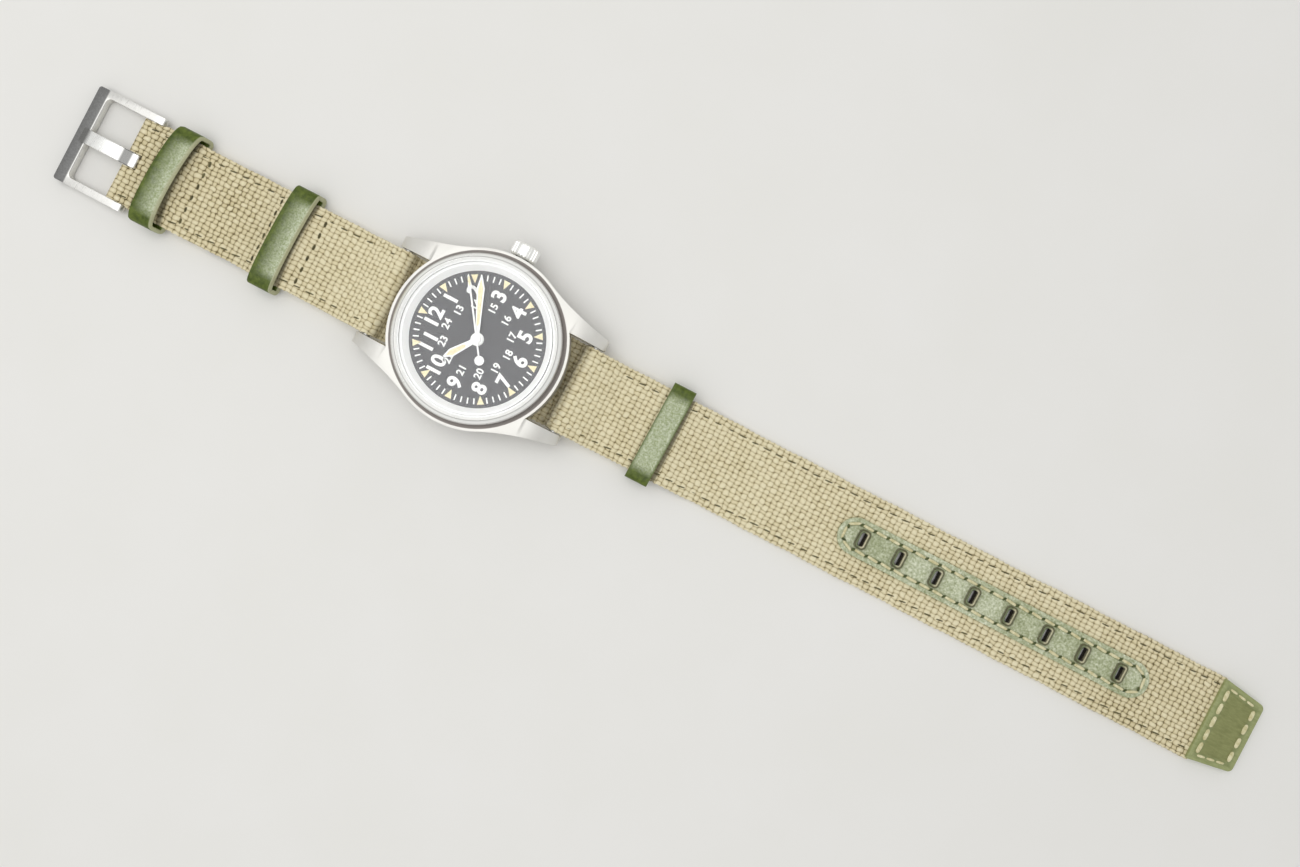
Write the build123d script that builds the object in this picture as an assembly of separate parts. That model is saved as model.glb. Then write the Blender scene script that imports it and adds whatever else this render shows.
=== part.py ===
from build123d import *
import os
from math import acos, atan2, cos, hypot, pi, radians, sin

os.makedirs("parts", exist_ok=True)

# All lengths are in millimetres. The watch lies on its strap, dial up.
# X runs along the strap from the buckle to the tail, Y points to 3 o'clock and the crown, and Z is up.
# The origin is on the axis of the hands, at the surface that the strap lies on.

# Canvas strap
strap_width = 19.3
buckle_end_play = 0.2
canvas = 1.15
layer_gap = 0.1
bend_start = 6.2
bend_run = 3.1
strap_slope = 28
wrap_gap = 0.05
valley_radius = 5.0
turn_up_radius = 1.2
tail_end = 173.5
fold_length = 21.3
under_strap_past_keeper = 1.35
under_strap_past_middle_keeper = 4.95
bump_run = 3.2
bump_radius = 2.0
fold_round_share = 0.98
narrow_run = 3.3

# Leather keepers, patch and tip
leather = 0.95
keeper_length = 5.1
keeper_clearance = 0.05
keeper_by_buckle_from_bar = 10.15
keeper_by_buckle_play = 1.5
keeper_by_buckle_height = 6.4
keeper_by_buckle_lean = 2.2
keeper_middle_from_bar = 23.8
keeper_middle_play = 2.0
keeper_middle_height = 5.5
keeper_middle_lean = 1.2
keeper_under_strap_from_bar = 20.4
keeper_under_strap_play = 1.3
keeper_under_strap_height = 4.75
keeper_under_strap_lean = 0.0
keeper_side_share = 0.35
patch_start = 85.5
patch_end = 159.3
patch_width = 8.1
patch_thickness = 0.85
slot_count = 8
slot_first = 91.0
slot_pitch = 8.8
slot_length = 3.0
slot_width = 1.3
slot_corner = 0.4
slot_rim = 0.5
slot_rim_height = 0.2
cap_length = 10.0
cap_root_step = 0.3
cap_end_step = 3.6
cap_thickness = 2.0
cap_corner = 1.2

# Buckle
bar_x = -83.3
buckle_bar_radius = 0.75
frame_outer_width = 22.0
frame_arm_width = 1.55
frame_reach = 14.0
frame_past_bar = 1.5
frame_end_bar = 2.7
frame_outer_corner = 0.6
frame_inner_corner = 1.2
frame_thickness = 2.0
frame_bevel = 0.55
frame_floor_gap = 0.05
tongue_width = 3.1
tongue_thickness = 1.0
tongue_overhang = 1.7
tongue_bend = 3.0
tongue_slot_clearance = 0.2
tongue_rest_gap = 0.03
tongue_hub_gap = 0.04

# Case
case_radius = 19.0
case_bottom = 3.0
case_top = 8.8
case_chamfer = 0.8
rim_width = 0.55
groove_width = 0.8
recess_floor = 8.15
back_radius = 17.0
back_thickness = 1.1
back_neck_radius = 15.9
back_neck_top = 4.35
back_neck_bore = 14.6
back_chamfer = 0.35
back_notches = 6
notch_width = 3.0
notch_depth = 1.4
notch_height = 0.5
gasket_top = 4.05
gasket_outer = 16.75
case_bore = 15.0
fit = 0.05
lug_play = 0.7
lug_length = 5.1
lug_tip_wall = 2.35
lug_waist_x = 15.0
lug_waist_wall = 4.45
lug_root_x = 7.0
lug_top_start = 14.5
lug_shoulder_x = 20.3
lug_shoulder_z = 7.7
lug_tip_top = 4.9
lug_tip_bottom = 2.6
lug_edge = 0.3
bar_inset = 1.9
strap_bar_z = 4.2
strap_bar_radius = 0.9
strap_bar_pin = 0.42
strap_bar_pin_length = 0.95
strap_bar_end_gap = 0.05

# Bezel, crystal and the ring above the dial
bezel_radius = 17.65
bezel_shoulder = 10.45
bezel_top = 11.2
bezel_flat = 0.2
bezel_ledge_radius = 15.9
bezel_ledge = 9.75
crystal_radius = 16.15
crystal_bottom = 9.85
crystal_top = 11.6
crystal_chamfer = 0.45
crystal_gasket_wall = 0.35
rehaut_foot = 14.2
rehaut_head = 15.3
rehaut_top = 9.7

# Crown and stem
stem_z = 6.1
crown_radius = 2.95
crown_gap = 0.25
crown_length = 2.95
crown_chamfer = 0.45
crown_flutes = 24
flute_shares = (0, 0.5, 0.66, 0.84)
flute_depth = 0.22
crown_cavity_radius = 1.75
crown_cavity_depth = 1.75
tube_outer = 1.2
tube_inner = 0.75
tube_stand_out = 1.55
crown_gasket_length = 0.5
crown_gasket_place = 0.1
stem_tip = 7.4
stem_pilot_radius = 0.35
stem_pilot_length = 0.5
stem_square_radius = 0.5
stem_radius = 0.6
stem_shoulder = 11.05
stem_groove_start = 11.28
stem_groove_width = 0.45
stem_groove_radius = 0.35
stem_in_crown = 0.9

# Dial and hands
dial_radius = 14.7
dial_bottom = 7.7
dial_top = 8.1
dial_hole = 1.15
hand_thickness = 0.18
hour_hand_bottom = 8.5
minute_hand_bottom = 8.95
seconds_hand_bottom = 9.4
hour_angle = 305.6
minute_angle = 67.0
seconds_angle = 55.5
hour_hub = 1.4
hour_shoulder = 6.0
hour_shoulder_width = 1.75
hour_neck_width = 0.9
hour_tip = 7.8
hour_tip_width = 0.4
minute_hub = 1.25
minute_shoulder = 10.5
minute_shoulder_width = 1.65
minute_neck_width = 0.75
minute_tip = 13.2
minute_tip_width = 0.25
seconds_hub = 0.8
seconds_width = 0.35
seconds_spear_start = 10.7
seconds_spear_width = 0.9
seconds_tip = 13.4
seconds_tail = 4.5
seconds_tail_disc = 1.0

# Movement levels
bridge_bottom = 4.25
bridge_thickness = 0.7
plate_bottom = 6.9
plate_top = 7.3
top_wheel_thickness = 0.4
movement_radius = 12.8
movement_ring_gap = 0.05
movement_ring_bottom = 4.4
rim_wall = 1.2
bridge_edge_gap = 0.1
wheel_thickness = 0.15
running_gap = 0.12
pivot_gap = 0.02
arbor_radius = 0.12
arbor_hole = 0.16

# Gear teeth
addendum_share = 0.9
dedendum_share = 1.15
wheel_root_share = 0.3
leaf_root_share = 0.22
leaf_tip_share = 0.1
wheel_spokes = 4
spoke_rim_share = 0.74
spoke_hub_share = 0.3
spoke_half_angle = 34

# Going train: places are a distance from the centre and a direction in degrees
barrel_distance = 6.6
barrel_direction = 148
barrel_teeth = 70
center_leaves = 10
center_teeth = 64
third_leaves = 8
third_distance = 4.5
third_direction = 12
third_teeth = 60
fourth_leaves = 8
fourth_teeth = 60
escape_leaves = 6
escape_distance = 4.5
escape_direction = -110
escape_teeth = 15
escape_radius = 1.9
escape_root_share = 0.72
escape_tooth_shares = (0, 0.2, 0.35, 0.8)
balance_distance = 8.2
balance_direction = -72
balance_radius = 3.9
balance_rim = 0.4
balance_bottom = 5.35
balance_rim_height = 0.35
balance_arm = 0.5
pallet_distance = 2.45
pallet_bottom = 6.1
pallet_thickness = 0.22
pallet_lever_width = 0.32
pallet_arm_width = 0.36
pallet_arm_length = 1.95
pallet_arm_spread = 62
pallet_stone = 0.2
fork_reach = 2.55
fork_width = 0.8
fork_slot = 0.26
roller_radius = 0.75
roller_bottom = 6.42
roller_thickness = 0.15
fourth_wheel_bottom = 5.05
third_wheel_bottom = 5.3
center_wheel_bottom = 5.62
escape_wheel_bottom = 6.15
center_tube = 0.45
center_tube_bore = 0.27
center_tube_top = 8.9
seconds_arbor = 0.22
barrel_bottom = 5.95
barrel_top = 7.05
barrel_wall = 0.35
barrel_floor = 0.15
barrel_teeth_bottom = 6.3
barrel_teeth_top = 6.7
barrel_pocket_gap = 0.15
barrel_core = 1.2
barrel_arbor_radius = 0.8
spring_turns = 5
spring_runs = 12
spring_thickness = 0.16
spring_inner = 1.35
spring_outer = 4.9
hairspring_turns = 5
hairspring_thickness = 0.07
hairspring_inner = 0.45
hairspring_outer = 2.1
hairspring_bottom = 5.05
hairspring_height = 0.14

# Winding and setting work
winding_teeth = 12
face_teeth = 24
face_module = 0.2
crown_wheel_y = 7.9
crown_wheel_teeth = 20
ratchet_teeth = 36
winding_pinion_start = 9.75
winding_pinion_length = 1.2
winding_pinion_bore = 0.63
face_teeth_top = 4.85
face_teeth_depth = 0.3
sliding_pinion_start = 8.0
sliding_pinion_length = 1.6
sliding_pinion_radius = 0.95
sliding_groove_radius = 0.72
sliding_groove_width = 0.5
sliding_bore = 0.55
click_direction = 250
click_distance = 6.3
click_gap_share = 19.5
click_depth_share = 0.35
click_radius = 0.7
click_tip_width = 0.16
lever_pivot_x = 3.2
lever_pivot_radius = 0.6
lever_width = 0.7
lever_bottom = 7.34
lever_thickness = 0.3
finger_width = 0.3
finger_dip = 0.15
yoke_pivot_x = 3.6
yoke_pivot_y = 8.6
window_width = 2.9
window_start = 7.3
window_end = 11.15
finger_window_width = 1.2
finger_window_end = 12.35
plate_hole_gap = 0.1

# Motion work under the dial
cannon_leaves = 10
minute_teeth = 30
minute_leaves = 8
hour_teeth = 32
minute_wheel_distance = 2.4
minute_wheel_direction = 60
cannon_radius = 0.62
cannon_top = 9.13
cannon_teeth_bottom = 7.33
cannon_teeth_top = 7.49
minute_wheel_bottom = 7.34
minute_leaves_top = 7.67
hour_wheel_bottom = 7.54
hour_tube_outer = 0.92
hour_tube_bore = 0.66
hour_tube_top = 8.68
minute_post = 0.2
minute_bore = 0.24

# Bridges and their screws
bridge_split = 1.25
bridge_split_gap = 0.2
cock_root = 1.8
cock_nose = 1.1
cock_foot_distance = 10.85
cock_foot_direction = -38
cock_clearance = 0.25
pallet_bridge_bottom = 5.88
pallet_bridge_thickness = 0.15
pallet_bridge_half_span = 1.95
pallet_bridge_width = 0.8
screw_circle_radius = 12.1
screw_sides = 12
screw_head = 0.55
screw_head_height = 0.3
screw_shank = 0.3
screw_length = 1.3
screw_slot = 0.16
barrel_bridge_screw_directions = (115, 200)
train_bridge_screw_directions = (243, -18, 30)

# Worked out from the sizes above
bridge_top = bridge_bottom + bridge_thickness
top_wheel_bottom = bridge_bottom - top_wheel_thickness
back_bottom = 2 * (canvas + layer_gap)
back_floor = back_bottom + back_thickness
floor_layer = canvas / 2
raised_layer = canvas + layer_gap + canvas / 2
bump_layer = canvas + leather + 2 * keeper_clearance + canvas / 2
bar_wrap = strap_bar_radius + wrap_gap + canvas / 2
buckle_wrap = buckle_bar_radius + wrap_gap + canvas / 2
buckle_bar_z = floor_layer + buckle_wrap
lug_gap = strap_width + lug_play
lug_reach = case_radius + lug_length
lug_tip_outer = lug_gap / 2 + lug_tip_wall
half_pitch_bars = lug_reach - bar_inset
under_case_reach = half_pitch_bars - bend_start
crown_start = case_radius + crown_gap
frame_inner_width = frame_outer_width - 2 * frame_arm_width
buckle_end_width = frame_inner_width - 2 * buckle_end_play
keeper_by_buckle_x = bar_x + keeper_by_buckle_from_bar
keeper_middle_x = -half_pitch_bars - keeper_middle_from_bar
keeper_under_strap_x = half_pitch_bars + keeper_under_strap_from_bar
under_strap_start = keeper_middle_x - keeper_length / 2 - under_strap_past_middle_keeper
under_strap_end = keeper_under_strap_x + keeper_length / 2 + under_strap_past_keeper
fold_end = bar_x + fold_length
narrow_from = bar_x + narrow_run


def polar(distance, direction):
    return (distance * cos(radians(direction)), distance * sin(radians(direction)))


barrel_place = polar(barrel_distance, barrel_direction)
third_place = polar(third_distance, third_direction)
escape_place = polar(escape_distance, escape_direction)
balance_place = polar(balance_distance, balance_direction)
cock_foot = polar(cock_foot_distance, cock_foot_direction)
minute_wheel_place = polar(minute_wheel_distance, minute_wheel_direction)
crown_wheel_place = (0, crown_wheel_y)
centre = (0, 0)


def bearing(start, end):
    return atan2(end[1] - start[1], end[0] - start[0])


def between(start, end, distance):
    angle = bearing(start, end)
    return (start[0] + distance * cos(angle), start[1] + distance * sin(angle))


pallet_place = between(escape_place, balance_place, pallet_distance)


# Plain building shapes
def disc(radius, bottom, top, place=centre):
    at_bottom = (Align.CENTER, Align.CENTER, Align.MIN)
    return Pos(place[0], place[1], bottom) * Cylinder(radius, top - bottom, align=at_bottom)


def ring(outer, inner, bottom, top, place=centre):
    return disc(outer, bottom, top, place) - disc(inner, bottom, top, place)


def rod(radius, start, end, x=0, z=stem_z):
    face = Plane(origin=(x, start, z), z_dir=(0, 1, 0)) * Circle(radius)
    return extrude(face, end - start)


def plate(points, bottom, top):
    return Pos(0, 0, bottom) * extrude(make_face(Polyline(*points, close=True)), top - bottom)


def turned(points):
    return revolve(Plane.XZ * make_face(Polyline(*points, close=True)), Axis.Z)


def block(x0, x1, y0, y1, z0, z1):
    middle = Pos((x0 + x1) / 2, (y0 + y1) / 2, (z0 + z1) / 2)
    return middle * Box(x1 - x0, y1 - y0, z1 - z0)


def link(start, start_radius, end, end_radius, bottom, top):
    angle = bearing(start, end)
    side = (-sin(angle), cos(angle))
    corners = [
        (start[0] + side[0] * start_radius, start[1] + side[1] * start_radius),
        (end[0] + side[0] * end_radius, end[1] + side[1] * end_radius),
        (end[0] - side[0] * end_radius, end[1] - side[1] * end_radius),
        (start[0] - side[0] * start_radius, start[1] - side[1] * start_radius),
    ]
    rounds = disc(start_radius, bottom, top, start) + disc(end_radius, bottom, top, end)
    return rounds + plate(corners, bottom, top)


def save(shape, name):
    shape.label = name
    export_step(shape, "parts/" + name + ".step")


# Gears: a wheel has pointed teeth and a pinion has blunt leaves, with play between them
def module_for(distance, first_teeth, second_teeth):
    return 2 * distance / (first_teeth + second_teeth)


def tip_radius(teeth, module):
    return module * (teeth / 2 + addendum_share)


def tooth_points(teeth, module, turn, root_share, tip_share):
    tip = tip_radius(teeth, module)
    root = module * (teeth / 2 - dedendum_share)
    pitch = 2 * pi / teeth
    points = []
    for i in range(teeth):
        middle = turn + i * pitch
        corners = [(root, -root_share), (tip, -tip_share), (tip, tip_share), (root, root_share)]
        if tip_share == 0:
            corners = [(root, -root_share), (tip, 0), (root, root_share)]
        for radius, share in corners:
            angle = middle + share * pitch
            points.append((radius * cos(angle), radius * sin(angle)))
    return points


def toothed(teeth, module, turn, bottom, top, place=centre):
    points = tooth_points(teeth, module, turn, wheel_root_share, 0)
    return Pos(place[0], place[1], 0) * plate(points, bottom, top)


def leaved(leaves, module, turn, bottom, top, place=centre):
    points = tooth_points(leaves, module, turn, leaf_root_share, leaf_tip_share)
    return Pos(place[0], place[1], 0) * plate(points, bottom, top)


def meshing_turn(teeth, own_place, other_place):
    return bearing(own_place, other_place) + pi / teeth


def spoke_windows(radius, bottom, top, place):
    outer = radius * spoke_rim_share
    inner = radius * spoke_hub_share
    a = radians(spoke_half_angle)
    corners = [
        (inner * cos(a), inner * sin(a)),
        (outer * cos(a), outer * sin(a)),
        (outer, 0),
        (outer * cos(a), -outer * sin(a)),
        (inner * cos(a), -inner * sin(a)),
    ]
    window = plate(corners, bottom, top)
    turn = 360 / wheel_spokes
    return [Pos(place[0], place[1], 0) * Rot(0, 0, i * turn) * window for i in range(wheel_spokes)]


def spiral(inner, outer, turns, thickness, bottom, top, place):
    # A flat strip that widens by the same step each turn, in short straight runs.
    sides = ([], [])
    for i in range(turns * spring_runs + 1):
        angle = 2 * pi * i / spring_runs
        middle = inner + (outer - inner) * i / (turns * spring_runs)
        for side, offset in zip(sides, (-thickness / 2, thickness / 2)):
            side.append(((middle + offset) * cos(angle), (middle + offset) * sin(angle)))
    return Pos(place[0], place[1], 0) * plate(sides[0] + sides[1][::-1], bottom, top)


# Case
def case_middle():
    rim = case_radius - rim_width
    body = turned(
        [
            (case_bore, back_neck_top),
            (back_neck_radius + fit, back_neck_top),
            (back_neck_radius + fit, gasket_top),
            (gasket_outer, gasket_top),
            (gasket_outer, back_floor),
            (back_radius + fit, back_floor),
            (back_radius + fit, case_bottom),
            (case_radius - case_chamfer, case_bottom),
            (case_radius, case_bottom + case_chamfer),
            (case_radius, case_top),
            (rim, case_top),
            (rim - groove_width + fit, recess_floor),
            (case_bore, recess_floor),
        ]
    )
    outer = Line((lug_reach, lug_gap / 2), (lug_reach, lug_tip_outer))
    root = (lug_root_x, (case_radius**2 - lug_root_x**2) ** 0.5)
    waist = (lug_waist_x, lug_gap / 2 + lug_waist_wall)
    flank = ThreePointArc((lug_reach, lug_tip_outer), waist, root)
    inside = Polyline(root, (lug_root_x, lug_gap / 2), (lug_reach, lug_gap / 2))
    lug = extrude(make_face([outer, flank, inside]), case_top)
    top = ThreePointArc(
        (lug_top_start, case_top), (lug_shoulder_x, lug_shoulder_z), (lug_reach, lug_tip_top)
    )
    rest = Polyline(
        (lug_reach, lug_tip_top),
        (lug_reach, lug_tip_bottom),
        (back_radius, case_bottom),
        (0, case_bottom),
        (0, case_top),
        (lug_top_start, case_top),
    )
    side = extrude(Plane.XZ * make_face([top, rest]), case_radius, both=True)
    lug = (lug & side) - disc(case_radius - rim_width / 2, 0, case_top)
    tips = lug.edges().group_by(Axis.X)[-1]
    lug = chamfer(tips.filter_by(Axis.Z) + tips.filter_by(Axis.Y), lug_edge)
    body += lug + mirror(lug, Plane.XZ) + mirror(lug, Plane.YZ) + mirror(mirror(lug, Plane.YZ), Plane.XZ)
    body -= rod(tube_outer + fit, 0, case_radius + fit)
    for x in (-half_pitch_bars, half_pitch_bars):
        reach = lug_gap / 2 + strap_bar_pin_length + fit
        body -= rod(strap_bar_pin + fit, -reach, reach, x, strap_bar_z)
    return body


def case_back():
    body = turned(
        [
            (0, back_bottom),
            (back_radius - back_chamfer, back_bottom),
            (back_radius, back_bottom + back_chamfer),
            (back_radius, back_floor),
            (back_neck_radius, back_floor),
            (back_neck_radius, back_neck_top),
            (back_neck_bore, back_neck_top),
            (back_neck_bore, back_floor),
            (0, back_floor),
        ]
    )
    notch = block(
        back_radius - notch_depth,
        back_radius + fit,
        -notch_width / 2,
        notch_width / 2,
        back_bottom,
        back_bottom + notch_height,
    )
    for i in range(back_notches):
        body -= Rot(0, 0, 360 / back_notches * (i + 0.5)) * notch
    return body


def bezel():
    seat = crystal_radius + crystal_gasket_wall
    body = turned(
        [
            (bezel_ledge_radius, recess_floor),
            (bezel_radius, recess_floor),
            (bezel_radius, bezel_shoulder),
            (seat + bezel_flat, bezel_top),
            (seat, bezel_top),
            (seat, bezel_ledge),
            (bezel_ledge_radius, bezel_ledge),
        ]
    )
    return body


def crystal():
    body = disc(crystal_radius, crystal_bottom, crystal_top)
    return chamfer(body.edges().group_by(Axis.Z)[-1], crystal_chamfer)


def rehaut_ring():
    outer = bezel_ledge_radius - fit
    return turned(
        [
            (rehaut_foot, recess_floor),
            (outer, recess_floor),
            (outer, rehaut_top),
            (rehaut_head, rehaut_top),
        ]
    )


def strap_bars():
    length = lug_gap / 2 - strap_bar_end_gap
    reach = lug_gap / 2 + strap_bar_pin_length
    bars = []
    for x in (-half_pitch_bars, half_pitch_bars):
        body = rod(strap_bar_radius, -length, length, x, strap_bar_z)
        bars.append(body + rod(strap_bar_pin, -reach, reach, x, strap_bar_z))
    return Compound(children=bars)


def crown():
    end = crown_start + crown_length
    points = []
    for i in range(crown_flutes):
        for share, depth in zip(flute_shares, (0, 0, flute_depth, flute_depth)):
            radius = crown_radius - depth
            angle = 2 * pi * (i + share) / crown_flutes
            points.append((radius * cos(angle), radius * sin(angle)))
    face = make_face(Polyline(*points, close=True))
    body = extrude(Plane(origin=(0, crown_start, stem_z), z_dir=(0, 1, 0)) * face, crown_length)
    envelope = chamfer(rod(crown_radius, crown_start, end).edges(), crown_chamfer)
    body = body & envelope
    body -= rod(crown_cavity_radius, crown_start, crown_start + crown_cavity_depth)
    body -= rod(stem_radius, crown_start, crown_start + crown_cavity_depth + stem_in_crown)
    return body


def winding_stem():
    square = stem_tip + stem_pilot_length
    groove = stem_groove_start + stem_groove_width
    end = crown_start + crown_cavity_depth + stem_in_crown
    body = rod(stem_pilot_radius, stem_tip, square)
    body += rod(stem_square_radius, square, stem_shoulder)
    body += rod(stem_radius, stem_shoulder, stem_groove_start)
    body += rod(stem_groove_radius, stem_groove_start, groove)
    body += rod(stem_radius, groove, end)
    return body


# Hands
def aim(shape, angle):
    return Rot(0, 0, 180 - angle) * shape


def hand_blade(widths, hub, bore, bottom, angle):
    right = [(along, wide / 2) for along, wide in widths]
    left = [(along, -wide / 2) for along, wide in reversed(widths)]
    body = plate(right + left, bottom, bottom + hand_thickness)
    body += disc(hub, bottom, bottom + hand_thickness)
    if bore:
        body -= disc(bore, bottom, bottom + hand_thickness)
    return aim(body, angle)


def hour_hand():
    widths = [
        (0, hour_neck_width),
        (hour_shoulder, hour_shoulder_width),
        (hour_tip, hour_tip_width),
    ]
    return hand_blade(widths, hour_hub, hour_tube_outer, hour_hand_bottom, hour_angle)


def minute_hand():
    widths = [
        (0, minute_neck_width),
        (minute_shoulder, minute_shoulder_width),
        (minute_tip, minute_tip_width),
    ]
    return hand_blade(widths, minute_hub, cannon_radius, minute_hand_bottom, minute_angle)


def seconds_hand():
    widths = [
        (-seconds_tail, seconds_width),
        (seconds_spear_start, seconds_width),
        (seconds_spear_start, seconds_spear_width),
        (seconds_tip, seconds_width / 2),
    ]
    top = seconds_hand_bottom + hand_thickness
    body = hand_blade(widths, seconds_hub, 0, seconds_hand_bottom, seconds_angle)
    tail = disc(seconds_tail_disc, seconds_hand_bottom, top, (-seconds_tail, 0))
    return body + aim(tail, seconds_angle)


# Movement plates
def split_mask(side, limit):
    # The half of the movement on one side of the line between the barrel bridge and the train bridge.
    reach = 2 * movement_radius
    mask = block(limit, reach, -reach, reach, bridge_bottom, bridge_top)
    if side < 0:
        mask = block(-reach, limit, -reach, reach, bridge_bottom, bridge_top)
    return Rot(0, 0, barrel_direction) * mask


def screw_places(directions):
    return [polar(screw_circle_radius, direction) for direction in directions]


barrel_bridge_screws = screw_places(barrel_bridge_screw_directions)
train_bridge_screws = screw_places(train_bridge_screw_directions)
all_screws = barrel_bridge_screws + train_bridge_screws + [cock_foot]


def stud(radius, bottom, top, place):
    # A small round bar of a screw or its hole, in few faces.
    return Pos(place[0], place[1], bottom) * extrude(RegularPolygon(radius, screw_sides), top - bottom)


def screw_holes(places):
    hole = screw_shank + pivot_gap
    return [stud(hole, bridge_bottom, bridge_bottom + screw_length + fit, p) for p in places]


def bridge_screws():
    screws = []
    for place in all_screws:
        head = stud(screw_head, bridge_bottom - screw_head_height, bridge_bottom, place)
        slot_top = bridge_bottom - screw_head_height / 2
        slot = block(
            place[0] - screw_head,
            place[0] + screw_head,
            place[1] - screw_slot / 2,
            place[1] + screw_slot / 2,
            bridge_bottom - screw_head_height,
            slot_top,
        )
        shank = stud(screw_shank, bridge_bottom, bridge_bottom + screw_length, place)
        screws.append(head - slot + shank)
    return Compound(children=screws)


def main_plate():
    body = disc(movement_radius, plate_bottom, plate_top)
    body += ring(movement_radius, movement_radius - rim_wall, bridge_top, plate_bottom)
    body += disc(cock_root, bridge_top, plate_bottom, cock_foot)
    module = module_for(barrel_distance, barrel_teeth, center_leaves)
    pocket = tip_radius(barrel_teeth, module) + barrel_pocket_gap
    body -= disc(pocket, barrel_bottom - running_gap, barrel_top + pivot_gap, barrel_place)
    body -= disc(balance_radius + barrel_pocket_gap, bridge_top, plate_bottom, balance_place)
    wide = window_width / 2
    body -= block(-wide, wide, window_start, window_end, bridge_top, plate_top)
    narrow = finger_window_width / 2
    body -= block(-narrow, narrow, window_end, finger_window_end, stem_z, plate_top)
    body -= rod(stem_radius + plate_hole_gap, window_end, movement_radius)
    body -= disc(center_tube + plate_hole_gap, plate_bottom, plate_top)
    body += disc(minute_post, plate_top, minute_leaves_top, minute_wheel_place)
    for place in (third_place, escape_place, balance_place, pallet_place):
        body -= disc(arbor_hole, plate_bottom, plate_top, place)
    return body - screw_holes(all_screws)


def barrel_bridge():
    body = disc(movement_radius - bridge_edge_gap, bridge_bottom, bridge_top)
    body = body & split_mask(1, bridge_split + bridge_split_gap / 2)
    window = tip_radius(face_teeth, face_module) + barrel_pocket_gap
    body -= disc(window, bridge_bottom, bridge_top, crown_wheel_place)
    body -= disc(barrel_arbor_radius + fit, bridge_bottom, bridge_top, barrel_place)
    reach = winding_pinion_start + winding_pinion_length
    half = window_width / 2
    body -= block(-half, half, crown_wheel_y, reach + plate_hole_gap, bridge_bottom, bridge_top)
    return body - screw_holes(barrel_bridge_screws)


def train_bridge():
    body = disc(movement_radius - bridge_edge_gap, bridge_bottom, bridge_top)
    body = body & split_mask(-1, bridge_split - bridge_split_gap / 2)
    body -= disc(balance_radius + cock_clearance, bridge_bottom, bridge_top, balance_place)
    cock_gap = cock_root + cock_clearance
    body -= link(balance_place, cock_gap, cock_foot, cock_gap, bridge_bottom, bridge_top)
    outward = polar(movement_radius, cock_foot_direction)
    body -= link(cock_foot, cock_gap, outward, cock_gap, bridge_bottom, bridge_top)
    body -= disc(seconds_arbor + plate_hole_gap, bridge_bottom, bridge_top)
    for place in (third_place, escape_place):
        body -= disc(arbor_hole, bridge_bottom, bridge_top, place)
    return body - screw_holes(train_bridge_screws)


def balance_cock():
    body = link(balance_place, cock_nose, cock_foot, cock_root, bridge_bottom, bridge_top)
    body -= disc(arbor_hole, bridge_bottom, bridge_top, balance_place)
    return body - screw_holes([cock_foot])


def pallet_bridge():
    # The bar crosses the line from the escape wheel to the balance at a right angle.
    across = bearing(escape_place, balance_place) + pi / 2
    feet = []
    for side in (-1, 1):
        shift = side * pallet_bridge_half_span
        feet.append((pallet_place[0] + shift * cos(across), pallet_place[1] + shift * sin(across)))
    top = pallet_bridge_bottom + pallet_bridge_thickness
    half = pallet_bridge_width / 2
    body = link(feet[0], half, feet[1], half, pallet_bridge_bottom, top)
    for foot in feet:
        body += disc(half, top, plate_bottom, foot)
    return body - disc(arbor_hole, pallet_bridge_bottom, top, pallet_place)


# Going train
barrel_module = module_for(barrel_distance, barrel_teeth, center_leaves)
center_module = module_for(third_distance, center_teeth, third_leaves)
third_module = module_for(third_distance, third_teeth, fourth_leaves)
fourth_module = module_for(escape_distance, fourth_teeth, escape_leaves)
drum_radius = barrel_module * (barrel_teeth / 2 - dedendum_share)


def barrel_drum():
    turn = bearing(barrel_place, centre)
    body = toothed(barrel_teeth, barrel_module, turn, barrel_teeth_bottom, barrel_teeth_top, barrel_place)
    drum = disc(drum_radius, barrel_bottom, barrel_top, barrel_place)
    cavity = disc(drum_radius - barrel_wall, barrel_bottom + barrel_floor, barrel_top, barrel_place)
    arbor = disc(barrel_arbor_radius + fit, barrel_bottom, barrel_top, barrel_place)
    return body + drum - cavity - arbor


def barrel_cover():
    radius = drum_radius - barrel_wall - pivot_gap
    bore = arbor_radius + stem_pilot_radius
    return ring(radius, bore, barrel_top - barrel_floor, barrel_top, barrel_place)


def mainspring():
    bottom = barrel_bottom + barrel_floor + pivot_gap
    top = barrel_top - barrel_floor - pivot_gap
    return spiral(spring_inner, spring_outer, spring_turns, spring_thickness, bottom, top, barrel_place)


def barrel_arbor():
    cover = barrel_top - barrel_floor
    body = disc(barrel_arbor_radius, top_wheel_bottom, barrel_bottom + barrel_floor, barrel_place)
    body += disc(barrel_core, barrel_bottom + barrel_floor + pivot_gap, cover - pivot_gap, barrel_place)
    body += disc(barrel_arbor_radius, barrel_bottom, cover - pivot_gap, barrel_place)
    body += disc(stem_pilot_radius, cover - running_gap, barrel_top, barrel_place)
    return body


def spoked_wheel(teeth, module, turn, bottom, place):
    top = bottom + wheel_thickness
    body = toothed(teeth, module, turn, bottom, top, place)
    return body - spoke_windows(tip_radius(teeth, module), bottom, top, place)


def center_wheel():
    turn = bearing(centre, third_place)
    body = spoked_wheel(center_teeth, center_module, turn, center_wheel_bottom, centre)
    leaf_turn = meshing_turn(center_leaves, centre, barrel_place)
    leaf_bottom = center_wheel_bottom + wheel_thickness
    leaf_top = plate_bottom - pivot_gap
    body += leaved(center_leaves, barrel_module, leaf_turn, leaf_bottom, leaf_top)
    body += disc(center_tube, leaf_bottom, center_tube_top)
    return body - disc(center_tube_bore, center_wheel_bottom, center_tube_top)


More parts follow.
